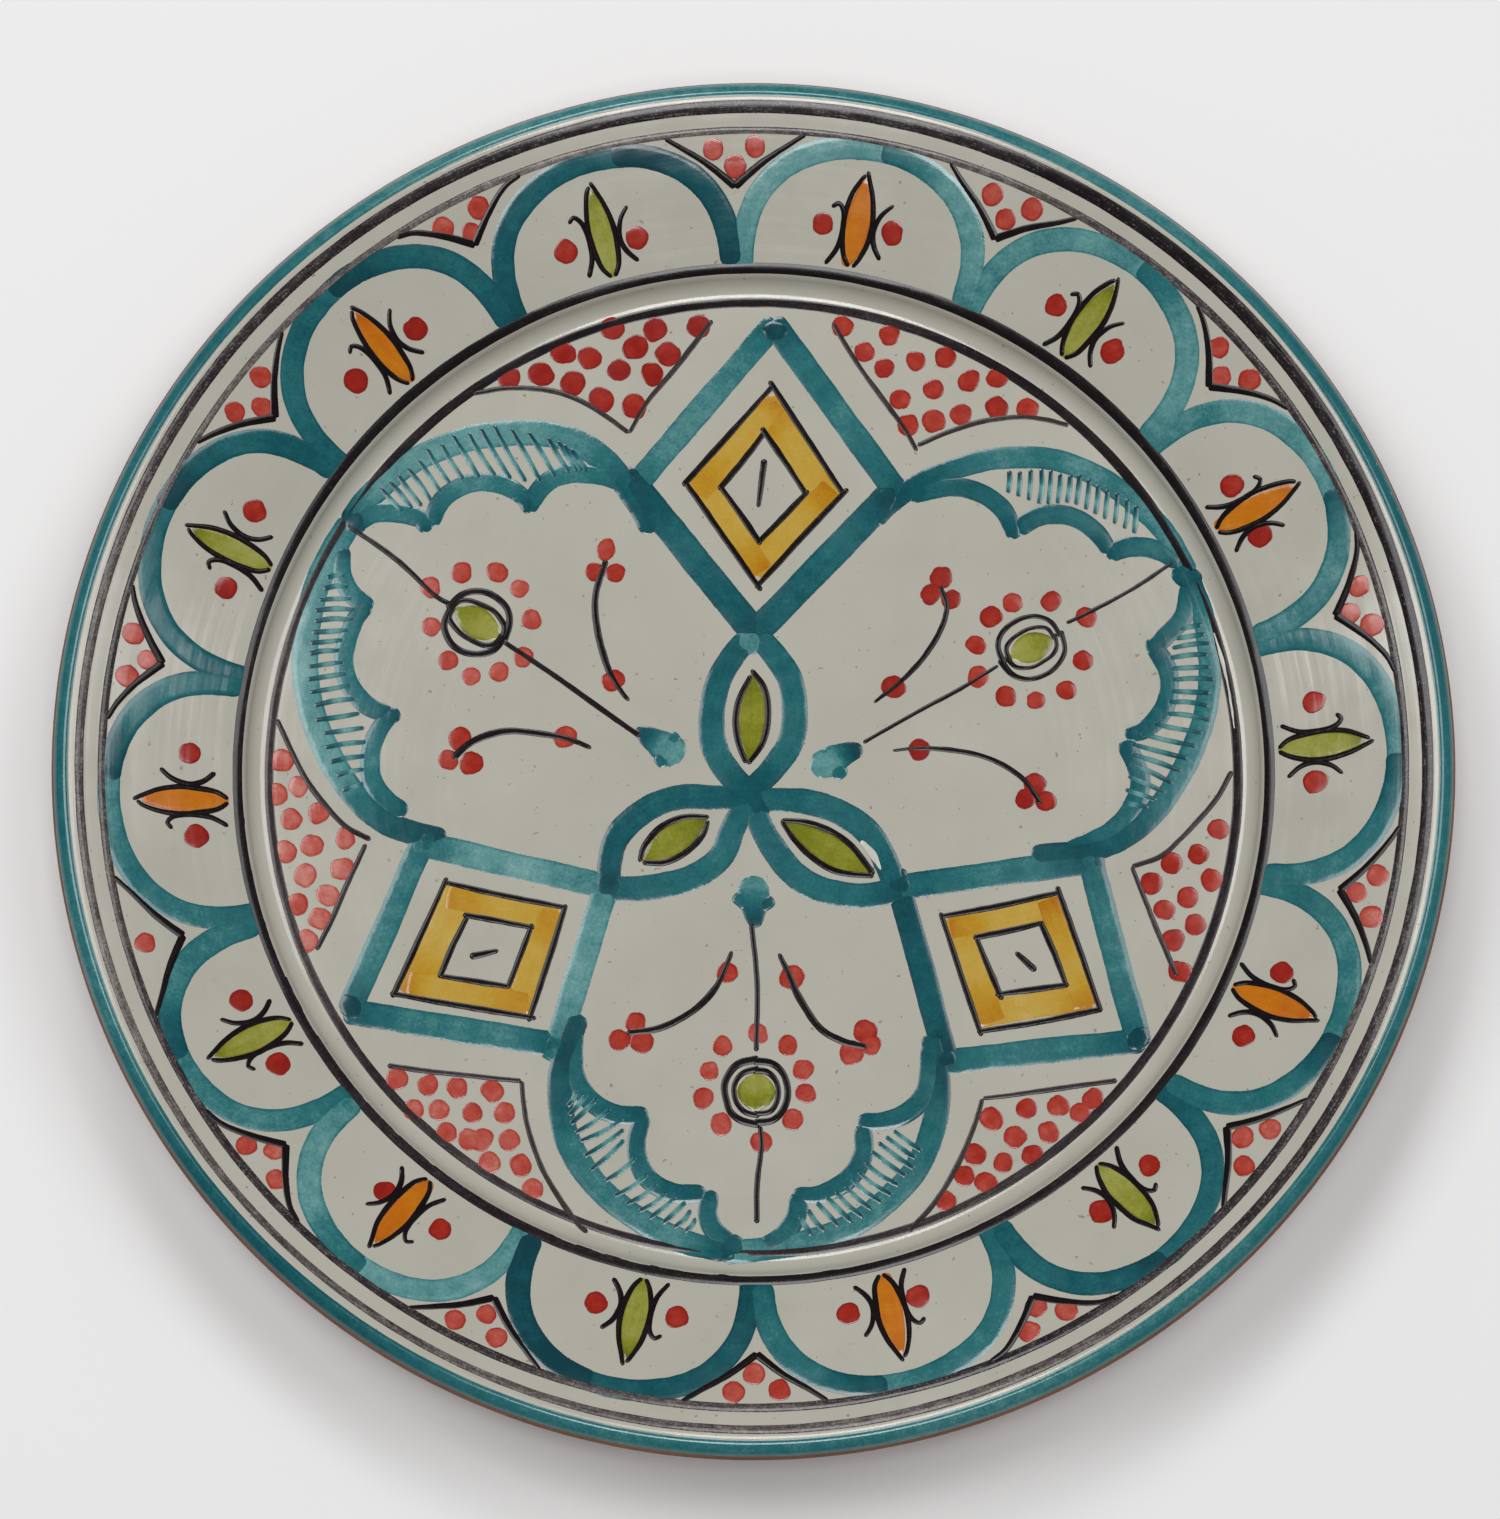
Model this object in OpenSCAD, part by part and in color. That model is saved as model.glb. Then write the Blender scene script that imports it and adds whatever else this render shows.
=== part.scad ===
// A hand painted earthenware plate: a thrown clay dish on a turned foot ring, a white glaze
// over its face, and the painted coats of colour that lie on the glaze.
// Origin: centre of the ring it stands on. +Z up, +Y towards the top of the pattern.

/* [Plate] */
// Diameter over the lip
plate_d = 300; // [280:1:360]
// Height from the table to the top of the lip
plate_h = 34; // [30:0.5:44]
// Diameter of the flat floor
floor_d = 210; // [174:1:220]
// Width of the curved step around the floor
step_w = 5; // [4.2:0.1:7]
// Rise of the curved step
step_h = 4.6; // [3:0.1:5.6]
// Thickness of the clay under the floor
clay_t = 6.5; // [5:0.5:8]
// Radius of the rolled clay lip
lip_round = 3.3; // [2.5:0.1:4]
// Diameter at which the outside wall starts to rise
heel_d = 216; // [180:1:230]

/* [Foot] */
// Outside diameter of the foot ring
foot_d = 160; // [130:1:176]
// Width of the ring that meets the table
foot_w = 8; // [6:0.5:12]
// Height of the foot ring
foot_h = 7; // [5:0.5:9]
// Slope of the foot ring's two sides, in millimetres over its height
foot_draft = 1.5; // [0.5:0.1:2]

/* [Glaze and colours] */
// Thickness of the white glaze
glaze_t = 0.5; // [0.3:0.05:0.8]
// Thickness of a painted coat
paint_t = 0.2; // [0.15:0.01:0.3]
// Width of a broad brush stroke
band_w = 5; // [3.5:0.1:6]
// Width of a fine brush line
line_w = 1.1; // [0.8:0.05:1.5]
// Radius of a painted dot
dot_r = 2.5; // [1.8:0.1:2.8]

/* [Lines round the plate] */
// Distance from the lip's edge in to the middle of the outermost line
rim_line_in = 6.4; // [5.8:0.1:8]
// Width of the outermost line
rim_line_w = 1.9; // [1.2:0.1:2.2]
// Gap from that line to the next one in
line_gap = 2.7; // [2:0.1:4]
// Width of the other three lines
ring_w = 1.5; // [1:0.1:1.8]

// The sizes below are for the rim and floor given above, and the pattern grows with both

/* [Rim pattern] */
// Number of arches round the rim
arch_count = 14; // [12:1:16]
// Angle of the first bud
arch_start = 105; // [90:0.5:120]
// Height of a bud
bud_h = 19; // [15:0.5:21]
// Width of a bud over its outline
bud_w = 6.4; // [5:0.1:8]
// Depth of the black chevrons
chevron_h = 10.5; // [8:0.5:12]

/* [Floor pattern] */
// Height of a petal's arch above its shoulders
petal_h = 45; // [40:0.5:48]
// Width of a lozenge, corner to corner
lozenge_w = 57; // [48:1:60]
// Width of the yellow frame, corner to corner
frame_w = 37; // [30:0.5:40]
// Number of dots round a flower
flower_dots_n = 10; // [8:1:12]
// Rows of dots in a corner
corner_rows = 4; // [3:1:5]
// Spacing of the hatched lines
hatch_gap = 3.4; // [2.6:0.1:5]

/* [Hidden] */
$fn = 96;
fine = 24;       // sides of a small circle
gap = 0.15;      // bare glaze left between a fill and its outline

plate_r = plate_d / 2;
floor_r = floor_d / 2;
floor_z = foot_h + clay_t + glaze_t;
step_r = floor_r + step_w;
step_z = floor_z + step_h;
hollow_r = (step_w * step_w + step_h * step_h) / (2 * step_h);
hollow_a = acos(1 - step_h / hollow_r);
step_stop = 3;   // degrees left off the step's curve, so that a lowered one meets the flange

// The lip's roll, and the flange that meets it as a tangent from the top of the step
roll_r = lip_round + glaze_t;
roll_c = [plate_r - lip_round, plate_h - roll_r - paint_t];
to_roll = roll_c - [step_r, step_z];
slope = atan2(to_roll[1], to_roll[0]) + asin(roll_r / norm(to_roll));
heel = [heel_d / 2, foot_h];
from_heel = roll_c - heel;
under_slope = atan2(from_heel[1], from_heel[0]) - asin(lip_round / norm(from_heel));
glaze_end = 32;         // the glaze stops here on the roll, in degrees above level
band_ends = [38, 86];   // the lip band's two edges on the roll

// The free widths between the lines
line_a = plate_r - rim_line_in;
line_b = line_a - rim_line_w / 2 - line_gap - ring_w / 2;
line_c = step_r + ring_w / 2 + 0.1;
line_d = floor_r - ring_w / 2;
rim_in = line_c + ring_w / 2;
rim_out = line_b - ring_w / 2;
rim_depth = rim_out - rim_in;
disc_r = line_d - ring_w / 2;

pitch = 360 / arch_count;
rim_scale = min(rim_depth / 26.8, PI * (rim_in + rim_out) / arch_count / 56);
drawn_r = 103.5;        // the floor pattern is drawn for a floor of this radius inside its line
floor_scale = disc_r / drawn_r;
lozenge_at = [88, 213, 325];
petal_room = [for (i = [0:2]) (lozenge_at[(i + 1) % 3] - lozenge_at[i] + 360) % 360 / 2];

function flange_z(r) = step_z + (r - step_r) * tan(slope);
function polar(r, a) = [r * cos(a), r * sin(a)];
function arc(c, r, a0, a1, n) = [for (i = [0:n]) c + polar(r, a0 + (a1 - a0) * i / n)];
function oval(c, rx, ry, a0, a1, n) =
    [for (i = [0:n]) let (a = a0 + (a1 - a0) * i / n) c + [rx * cos(a), ry * sin(a)]];
function reversed(p) = [for (i = [len(p) - 1:-1:0]) p[i]];
function mirrored(p) = [for (q = p) [-q[0], q[1]]];
function side(p, i) =
    let (d = p[min(i + 1, len(p) - 1)] - p[max(i - 1, 0)]) [-d[1], d[0]] / norm(d);

// A smooth line through a few points
function through(p, n = 5) = concat([for (i = [0:len(p) - 2], j = [0:n - 1])
    let (t = j / n, a = p[max(i - 1, 0)], b = p[i], c = p[i + 1], d = p[min(i + 2, len(p) - 1)])
    (2 * b + (c - a) * t + (2 * a - 5 * b + 4 * c - d) * t * t
        + (3 * b - a - 3 * c + d) * t * t * t) / 2], [p[len(p) - 1]]);

// The plate's upper surface, from the axis to the lip, lowered by t
function face_line(t, end) = concat(
    [[0, floor_z - t]],
    arc([floor_r, floor_z + hollow_r], hollow_r + t, -90, hollow_a - 90 - step_stop, 8),
    [[step_r + t, flange_z(step_r + t) - t / cos(slope)]],
    arc(roll_c, roll_r - t, 90 + slope, end, 12));

// A brush stroke along the points, narrowing to a share of its width at each end
module stroke(p, w, head = 1, tail = 1) {
    n = len(p) - 1;
    h = [for (i = [0:n]) let (start = head + (1 - head) * 4 * i / n,
        finish = tail + (1 - tail) * 4 * (n - i) / n) w / 2 * min(1, start, finish)];
    left = [for (i = [0:n]) p[i] + side(p, i) * h[i]];
    right = [for (i = [0:n]) p[i] - side(p, i) * h[i]];
    polygon(concat(left, reversed(right)));
}

// A leaf of two equal arcs, standing on its lower tip
module leaf(h, w) {
    r = (h * h + w * w) / (4 * w);
    translate([0, h / 2]) intersection() {
        translate([r - w / 2, 0]) circle(r);
        translate([w / 2 - r, 0]) circle(r);
    }
}

module leaf_ring(h, w, t) {
    difference() {
        leaf(h, w);
        translate([0, t * h / w]) leaf(h - 2 * t * h / w, w - 2 * t);
    }
}

module rhombus(h, w) {
    polygon([[0, h / 2], [-w / 2, 0], [0, -h / 2], [w / 2, 0]]);
}

module rhombus_ring(h, w, t) {
    difference() {
        rhombus(h, w);
        rhombus(h - 2 * t * norm([h, w]) / w, w - 2 * t * norm([h, w]) / h);
    }
}

module ring(r, w) {
    difference() {
        circle(r + w / 2);
        circle(r - w / 2);
    }
}

module dot(p, r = dot_r) {
    translate(p) circle(r, $fn = fine);
}

// Turns a motif drawn with its top outwards to the angle a
module facing(a) {
    rotate(a - 90) children();
}

// A petal stands halfway between two lozenges and reaches to their corners
module each_petal() {
    for (i = [0:2]) {
        $half = norm(lozenge_corner) * sin(petal_room[i] - atan2(lozenge_corner[0], lozenge_corner[1]))
            - band_w / 2;
        facing(lozenge_at[i] + petal_room[i]) scale(floor_scale) children();
    }
}

module each_lozenge() {
    for (a = lozenge_at) facing(a) scale(floor_scale) children();
}

// Puts a motif under each arch, or each second one, standing on the rim's inner edge
module each_bud(first = 0, step = 1) {
    for (i = [first:step:arch_count - 1])
        facing(arch_start - i * pitch) translate([0, rim_in]) scale(rim_scale) children();
}

// Puts a motif between each two arches, hanging from the rim's outer edge
module each_gap() {
    for (i = [0:arch_count - 1])
        facing(arch_start - (i + 0.5) * pitch) translate([0, rim_out]) scale(rim_scale) children();
}

// A coat of colour on the flat floor, kept inside a radius
module on_floor(limit = disc_r) {
    translate([0, 0, floor_z]) linear_extrude(paint_t) intersection() {
        circle(limit);
        children();
    }
}

// A coat of colour on the sloping rim, kept between two radii
module on_rim(r0 = rim_in, r1 = rim_out) {
    up = paint_t / cos(slope);
    intersection() {
        rotate_extrude() polygon([
            [r0, flange_z(r0)], [r1, flange_z(r1)],
            [r1, flange_z(r1) + up], [r0, flange_z(r0) + up]]);
        translate([0, 0, floor_z]) linear_extrude(plate_h) children();
    }
}

// ---- Clay and glaze ----

module clay_body() {
    outside = arc(roll_c, lip_round, under_slope - 90, glaze_end, 14);
    color("#a08878") rotate_extrude() polygon(concat(
        face_line(glaze_t, glaze_end), reversed(outside), [heel, [0, foot_h]]));
}

module foot_ring() {
    r1 = foot_d / 2;
    r0 = r1 - foot_w;
    color("#94796a") rotate_extrude() polygon([
        [r0, 0], [r1, 0], [r1 + foot_draft, foot_h], [r0 - foot_draft, foot_h]]);
}

module white_face_glaze() {
    color("#e4e0d4") rotate_extrude()
        polygon(concat(face_line(0, glaze_end), reversed(face_line(glaze_t, glaze_end))));
}

module lip_band() {
    color("#3f8f93") rotate_extrude() polygon(concat(
        arc(roll_c, roll_r + paint_t, band_ends[0], band_ends[1], 8),
        arc(roll_c, roll_r, band_ends[1], band_ends[0], 8)));
}

// ---- Lines round the plate ----

module rim_line_outer() {
    color("#565050") on_rim(line_a - rim_line_w / 2, line_a + rim_line_w / 2) circle(plate_r);
}

module rim_line_inner() {
    color("#5e5757") on_rim(line_b - ring_w / 2, line_b + ring_w / 2) circle(plate_r);
}

module floor_line_outer() {
    color("#2c2626") on_rim(line_c - ring_w / 2, line_c + ring_w / 2) circle(plate_r);
}

module floor_line_inner() {
    color("#2c2626") on_floor(floor_r) ring(line_d, ring_w);
}

// ---- Rim pattern ----

arch_drop = 0.4;        // an arch's foot starts this far under the rim's inner edge
bud_foot = 1.2;         // clear glaze under a bud
bud_slim = (line_w + gap) * bud_h / bud_w;
whisker_x = bud_w / 2 + line_w / 2 + gap;
bud_mid = bud_foot + bud_h / 2;

// Each arch is kept inside its own share of the rim, so that no two touch
module arches_2d() {
    rise = rim_depth - band_w / 2 + arch_drop;
    p = [for (a = [180:-9:0])
        polar(rim_in - arch_drop + rise * sin(a), 90 - (pitch - band_w * 0.12) / 2 * cos(a))];
    share = pitch / 2 - asin(gap / 2 / rim_in);
    for (i = [0:arch_count - 1]) facing(arch_start - i * pitch) intersection() {
        stroke(p, band_w);
        polygon([[0, 0], polar(plate_d, 90 - share), polar(plate_d, 90 + share)]);
    }
}

module bud_ring_2d() {
    translate([0, bud_foot]) leaf_ring(bud_h, bud_w, line_w);
}

module bud_2d() {
    translate([0, bud_foot + bud_slim])
        leaf(bud_h - 2 * bud_slim, bud_w - 2 * (line_w + gap));
}

module whiskers_2d() {
    p = through([
        [whisker_x + 3.2, bud_mid + 4.2], [whisker_x + 1.4, bud_mid + 3], [whisker_x + 0.1, bud_mid],
        [whisker_x + 0.8, bud_mid - 3.6], [whisker_x + 2.6, bud_mid - 7]]);
    stroke(p, line_w, 0.5, 0.6);
    stroke(mirrored(p), line_w, 0.5, 0.6);
}

module bud_dots_2d() {
    for (s = [-1, 1]) dot([s * (whisker_x + dot_r + 2.8), bud_mid - 2]);
}

module chevron_2d() {
    for (s = [-1, 1])
        stroke(through([[0, -chevron_h], [s * 7, 6 - chevron_h], [s * 14.5, 0.5]]), line_w, 1.2, 0.6);
}

module chevron_dots_2d() {
    dot([0, dot_r + 3 - chevron_h]);
    for (s = [-1, 1]) dot([s * dot_r * 2, -dot_r]);
}

module rim_arches() {
    color("#3f8f93") on_rim() arches_2d();
}

module rim_buds_green() {
    color("#a3b04a") on_rim() each_bud(0, 2) bud_2d();
}

module rim_buds_orange() {
    color("#d98a18") on_rim() each_bud(1, 2) bud_2d();
}

module bud_outlines() {
    color("#1e1717") on_rim() each_bud() bud_ring_2d();
}

module bud_whiskers() {
    color("#1e1717") on_rim() each_bud() whiskers_2d();
}

module bud_dots() {
    color("#c33a30") on_rim() difference() {
        each_bud() bud_dots_2d();
        each_bud() whiskers_2d();
    }
}

module rim_chevrons() {
    color("#1e1717") on_rim() each_gap() chevron_2d();
}

module chevron_dots() {
    color("#cf5449") on_rim() difference() {
        each_gap() chevron_dots_2d();
        each_gap() chevron_2d();
    }
}

// ---- Floor pattern: x is across a motif, y is the distance from the plate's centre ----

lozenge_tip = drawn_r - band_w / 2;
lozenge_mid = 67.5;
lozenge_corner = [lozenge_w / 2, lozenge_mid];
lozenge_foot = 38;
frame_h = 44;
inner_frame = [17.6, 22];
loop_w = 23;
loop_cross = 4;         // how far each loop of the knot runs past the centre
knot_leaf = [17.4 - 2 * band_w, 30.5 - 2 * band_w];
knot_leaf_y = 9;
petal_mid = 58;
petal_top = petal_mid + petal_h - band_w / 2;
flower_y = 68.5;
flower_reach = [11.6, 12.4];
heart_w = 13.4;
heart_h = 14;
core_w = 8.2;
stem_foot = 24;

// The four side bands of a lozenge, two from its tip and two from its foot
module lozenge_2d() {
    for (s = [-1, 1]) {
        stroke([[-s * 1.6, lozenge_tip + 2], [s * lozenge_w / 2, lozenge_mid]], band_w);
        stroke([[-s * 1.6, lozenge_foot - 2], [s * lozenge_w / 2, lozenge_mid]], band_w);
    }
}

module petal_arch_2d() {
    stroke(oval([0, petal_mid], $half, petal_top - petal_mid, 192, -12, 28), band_w);
}

// The inner edge of a petal: a top lobe, and two lobes down each side
module scallop_2d() {
    w = band_w * 0.9;
    stroke(oval([0, petal_top - 13.5], 10.5, 11.5, 184, -4, 14), w);
    for (s = [-1, 1]) {
        stroke(oval([s * ($half - 29), petal_mid + 19], s * 13.5, 13.5, 104, -6, 9), w);
        stroke(oval([s * ($half - 14), petal_mid + 2], s * 12, 14.5, 104, 2, 9), w);
    }
}

// Fine lines from the arch in to the lobes
module hatching_2d() {
    hatch_l = 10.5;
    n = floor((petal_h - 5) / hatch_gap);
    for (s = [-1, 1], i = [1:n]) {
        a = 22 + 56 * i / n;
        outer = oval([0, petal_mid], s * $half, petal_top - petal_mid, a, 0, 1)[0];
        inner = oval([0, petal_mid], s * ($half - hatch_l), petal_top - petal_mid - hatch_l,
            a + 3, 0, 1)[0];
        stroke([outer, inner], line_w * 0.9);
    }
}

module stem_2d() {
    high = [drawn_r - band_w - 1, flower_y + heart_h / 2 + gap];
    low = [flower_y - heart_h / 2 - gap, stem_foot];
    for (y = [high, low]) stroke([[0, y[0]], [0.6, (y[0] + y[1]) / 2], [0, y[1]]], line_w);
}

module heart_ring_2d() {
    translate([0, flower_y - heart_h / 2]) {
        leaf_ring(heart_h, heart_w, line_w);
        leaf_ring(heart_h, core_w, line_w);
    }
}

module heart_2d() {
    slim = (line_w + gap) * heart_h / core_w;
    translate([0, flower_y - heart_h / 2 + slim])
        leaf(heart_h - 2 * slim, core_w - 2 * (line_w + gap));
}

module flower_dots_2d() {
    for (i = [0:flower_dots_n - 1])
        dot(oval([0, flower_y], flower_reach[0], flower_reach[1], 90 + i * 360 / flower_dots_n, 0, 1)[0]);
}

module stalks_2d() {
    p = through([[26, 56], [20, 54], [13.5, 48], [9.5, 40.5], [7, 33]]);
    stroke(p, line_w, 0.6, 0.6);
    stroke(mirrored(p), line_w, 0.6, 0.6);
}

module sprig_dots_2d() {
    for (s = [-1, 1], p = [[28.4, 56.6], [23.6, 59.2], [24.8, 51.6], [9, 38.4]])
        dot([s * p[0], p[1]]);
}

module sepal_2d() {
    half = [[0.8, 31], [2.2, 29], [2.4, 25.4], [5, 24], [4.2, 21], [1.6, 18.4]];
    polygon(concat(half, reversed(mirrored(half))));
}

// A corner is what is left between a lozenge, a petal and the inner line
corner_top = polar(drawn_r, 84);
corner_low = [32, 76];
corner_far = polar(drawn_r, 55);

module corner_lines_2d() {
    w = line_w * 0.8;
    straight = [corner_top, corner_low];
    bowed = through([corner_low, [44.5, 79.5], corner_far], 6);
    stroke(straight, w, 0.6, 1);
    stroke(mirrored(straight), w, 0.6, 1);
    stroke(bowed, w, 1, 0.6);
    stroke(mirrored(bowed), w, 1, 0.6);
}

module corner_dots_2d() {
    r = min(dot_r, (drawn_r - norm(corner_low)) / corner_rows / 2);
    for (s = [-1, 1], row = [1:corner_rows], i = [0:row - 1]) {
        out = (row - 0.35) / corner_rows;
        near = corner_low + (corner_top - corner_low) * out;
        far = corner_low + (corner_far - corner_low) * out;
        p = near + (far - near) * (i + 0.5) / row;
        dot([s * p[0], p[1] - 0.6], r);
    }
}

module leaf_ring_2d() {
    translate([0, knot_leaf_y]) leaf_ring(knot_leaf[1], knot_leaf[0], line_w);
}

module leaf_2d() {
    slim = (line_w + gap) * knot_leaf[1] / knot_leaf[0];
    translate([0, knot_leaf_y + slim])
        leaf(knot_leaf[1] - 2 * slim, knot_leaf[0] - 2 * (line_w + gap));
}

module lozenge_bands() {
    color("#2f7f85") on_floor() each_lozenge() lozenge_2d();
}

module yellow_frames() {
    color("#dca82c") on_floor() each_lozenge() translate([0, lozenge_mid]) difference() {
        rhombus(frame_h - 4, (frame_h - 4) * frame_w / frame_h);
        rhombus(inner_frame[1], inner_frame[0]);
    }
}

module frame_outlines() {
    color("#1e1717") on_floor() each_lozenge() translate([0, lozenge_mid]) {
        rhombus_ring(frame_h, frame_w, line_w);
        rhombus_ring(inner_frame[1] - gap, inner_frame[0] - gap, line_w);
    }
}

module lozenge_ticks() {
    color("#1e1717") on_floor() each_lozenge() translate([0, lozenge_mid])
        stroke([[0, 5], [-0.4, 0], [-1.5, -4]], line_w, 0.7, 0.9);
}

module petal_arches() {
    color("#4b999b") on_floor() difference() {
        each_petal() petal_arch_2d();
        each_lozenge() lozenge_2d();
    }
}

module petal_scallops() {
    color("#2f7f85") on_floor() difference() {
        each_petal() scallop_2d();
        each_petal() petal_arch_2d();
        each_lozenge() lozenge_2d();
    }
}

module petal_hatching() {
    color("#7fb5b3") on_floor() difference() {
        each_petal() hatching_2d();
        each_petal() scallop_2d();
        each_petal() petal_arch_2d();
    }
}

module petal_stems() {
    color("#1e1717") on_floor() difference() {
        each_petal() stem_2d();
        each_petal() scallop_2d();
    }
}

module flower_hearts() {
    color("#a3b04a") on_floor() each_petal() heart_2d();
}

module heart_outlines() {
    color("#1e1717") on_floor() each_petal() heart_ring_2d();
}

module flower_dots() {
    color("#c33a30") on_floor() difference() {
        each_petal() flower_dots_2d();
        each_petal() stem_2d();
    }
}

module sprig_stalks() {
    color("#1e1717") on_floor() each_petal() stalks_2d();
}

module sprig_dots() {
    color("#c33a30") on_floor() difference() {
        each_petal() sprig_dots_2d();
        each_petal() stalks_2d();
    }
}

module petal_sepals() {
    color("#4b999b") on_floor() difference() {
        each_petal() sepal_2d();
        each_petal() stem_2d();
    }
}

module corner_outlines() {
    color("#4a4343") on_floor() each_lozenge() corner_lines_2d();
}

module corner_dots() {
    color("#c33a30") on_floor() difference() {
        each_lozenge() corner_dots_2d();
        each_lozenge() corner_lines_2d();
    }
}

module knot_loops() {
    color("#2f7f85") on_floor() difference() {
        each_lozenge() translate([0, -loop_cross])
            leaf_ring(lozenge_foot + 2 + loop_cross, loop_w, band_w);
        each_lozenge() lozenge_2d();
    }
}

module knot_leaves() {
    color("#a3b04a") on_floor() each_lozenge() leaf_2d();
}

module leaf_outlines() {
    color("#1e1717") on_floor() each_lozenge() leaf_ring_2d();
}

clay_body();
foot_ring();
white_face_glaze();
lip_band();
rim_line_outer();
rim_line_inner();
floor_line_outer();
floor_line_inner();
rim_arches();
rim_buds_green();
rim_buds_orange();
bud_outlines();
bud_whiskers();
bud_dots();
rim_chevrons();
chevron_dots();
lozenge_bands();
yellow_frames();
frame_outlines();
lozenge_ticks();
petal_arches();
petal_scallops();
petal_hatching();
petal_stems();
flower_hearts();
heart_outlines();
flower_dots();
sprig_stalks();
sprig_dots();
petal_sepals();
corner_outlines();
corner_dots();
knot_loops();
knot_leaves();
leaf_outlines();
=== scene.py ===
import math
import random
from bisect import bisect

import bmesh
import bpy
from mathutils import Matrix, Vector, noise


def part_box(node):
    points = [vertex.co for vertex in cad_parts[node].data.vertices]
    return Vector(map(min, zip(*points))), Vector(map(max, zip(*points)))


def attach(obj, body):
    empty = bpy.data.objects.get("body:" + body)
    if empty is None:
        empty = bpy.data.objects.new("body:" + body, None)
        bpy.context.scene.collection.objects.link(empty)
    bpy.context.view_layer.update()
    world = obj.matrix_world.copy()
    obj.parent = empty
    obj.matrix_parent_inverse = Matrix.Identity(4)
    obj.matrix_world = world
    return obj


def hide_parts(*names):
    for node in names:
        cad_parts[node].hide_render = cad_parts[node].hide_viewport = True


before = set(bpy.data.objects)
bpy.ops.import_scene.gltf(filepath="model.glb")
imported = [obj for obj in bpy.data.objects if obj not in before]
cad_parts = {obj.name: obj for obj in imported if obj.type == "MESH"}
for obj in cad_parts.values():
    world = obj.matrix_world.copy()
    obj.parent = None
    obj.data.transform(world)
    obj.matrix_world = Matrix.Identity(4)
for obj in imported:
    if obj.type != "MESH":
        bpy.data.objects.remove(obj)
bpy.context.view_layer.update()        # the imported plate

# ---- Clay body ----
# The dish itself, thrown on the wheel from red clay: a flat floor, a curved step, a wide sloping
# rim and a rolled lip. Its underside is cut with a turning tool and stays bare and matt.

MM = 0.001
floor_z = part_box("floor_line_inner")[0].z / MM
foot_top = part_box("clay_body")[0].z / MM
plate_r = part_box("clay_body")[1].x / MM
floor_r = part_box("floor_line_inner")[1].x / MM
step_r = floor_r + 5.0
step_rise = 4.6
step_curve = 5.02                 # radius of the step's hollow
rim_slope = 0.423
roll = (plate_r - 3.3, 30.0)      # centre of the lip's roll: distance from the axis, height
roll_in = 1.48                    # how far inside its centre the roll meets the rim
roll_top = 3.8
roll_out = 3.08
clay_roll = 3.3
glaze_depth = 0.4
heel_r = 108
sink_depth, sink_size = 0.22, 70  # the unevenness of the fired clay: its depth and its breadth


def dish_height(r):
    """Height of the glazed face at a distance from the axis, in millimetres."""
    if r <= floor_r:
        return floor_z
    if r <= step_r:
        return floor_z + step_curve - math.sqrt(step_curve ** 2 - (r - floor_r) ** 2)
    if r <= roll[0] - roll_in:
        return floor_z + step_rise + (r - step_r) * rim_slope
    if r <= roll[0]:
        return roll[1] + math.sqrt(roll_top ** 2 - (r - roll[0]) ** 2)
    return roll[1] + roll_top * math.sqrt(max(0.0, 1 - ((r - roll[0]) / roll_out) ** 2))


def warp(x, y, z):
    """How far the wheel and the kiln have let the clay sink at a place, in millimetres."""
    sink = sink_depth * (noise.noise(Vector((x, y, 7.0)) / sink_size) - 0.6)
    return z + sink * min(1.0, max(0.0, z / floor_z))


def turned(profile, steps=256, closed=False):
    """A shape spun from its profile, given as distances from the axis and heights."""
    bm = bmesh.new()
    points = [bm.verts.new((r, 0, z)) for r, z in profile]
    ends = zip(points, points[1:] + points[:1]) if closed else zip(points, points[1:])
    edges = [bm.edges.new(pair) for pair in ends]
    bmesh.ops.spin(bm, geom=points + edges, cent=(0, 0, 0), axis=(0, 0, 1), dvec=(0, 0, 0),
                   angle=math.tau, steps=steps, use_merge=True, use_duplicate=False)
    bmesh.ops.remove_doubles(bm, verts=bm.verts, dist=0.001)
    bmesh.ops.recalc_face_normals(bm, faces=bm.faces)
    return bm


def set_down(name, bm, finish):
    """Makes a named piece of a mesh drawn in millimetres, with the clay's warp in it."""
    for v in bm.verts:
        v.co.z = warp(*v.co)
    bmesh.ops.scale(bm, vec=(MM, MM, MM), verts=bm.verts)
    for face in bm.faces:
        face.smooth = True
    mesh = bpy.data.meshes.new(name)
    bm.to_mesh(mesh)
    bm.free()
    mesh.materials.append(finish.material)
    piece = bpy.data.objects.new(name, mesh)
    bpy.context.scene.collection.objects.link(piece)
    return piece


def lay(name, bm, finish, slot, *nodes):
    """Sets down a finished piece of the plate, in place of its plain CAD pieces."""
    piece = set_down(name, bm, finish)
    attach(piece, "root")
    if nodes:
        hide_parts(*nodes)


def linear(*rgb):
    """A colour given as 0 to 255 for the eye, as the amounts of light a shader takes."""
    return tuple(((c / 255 + 0.055) / 1.055) ** 2.4 if c > 10 else c / 255 / 12.92
                 for c in rgb) + (1.0,)


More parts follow.
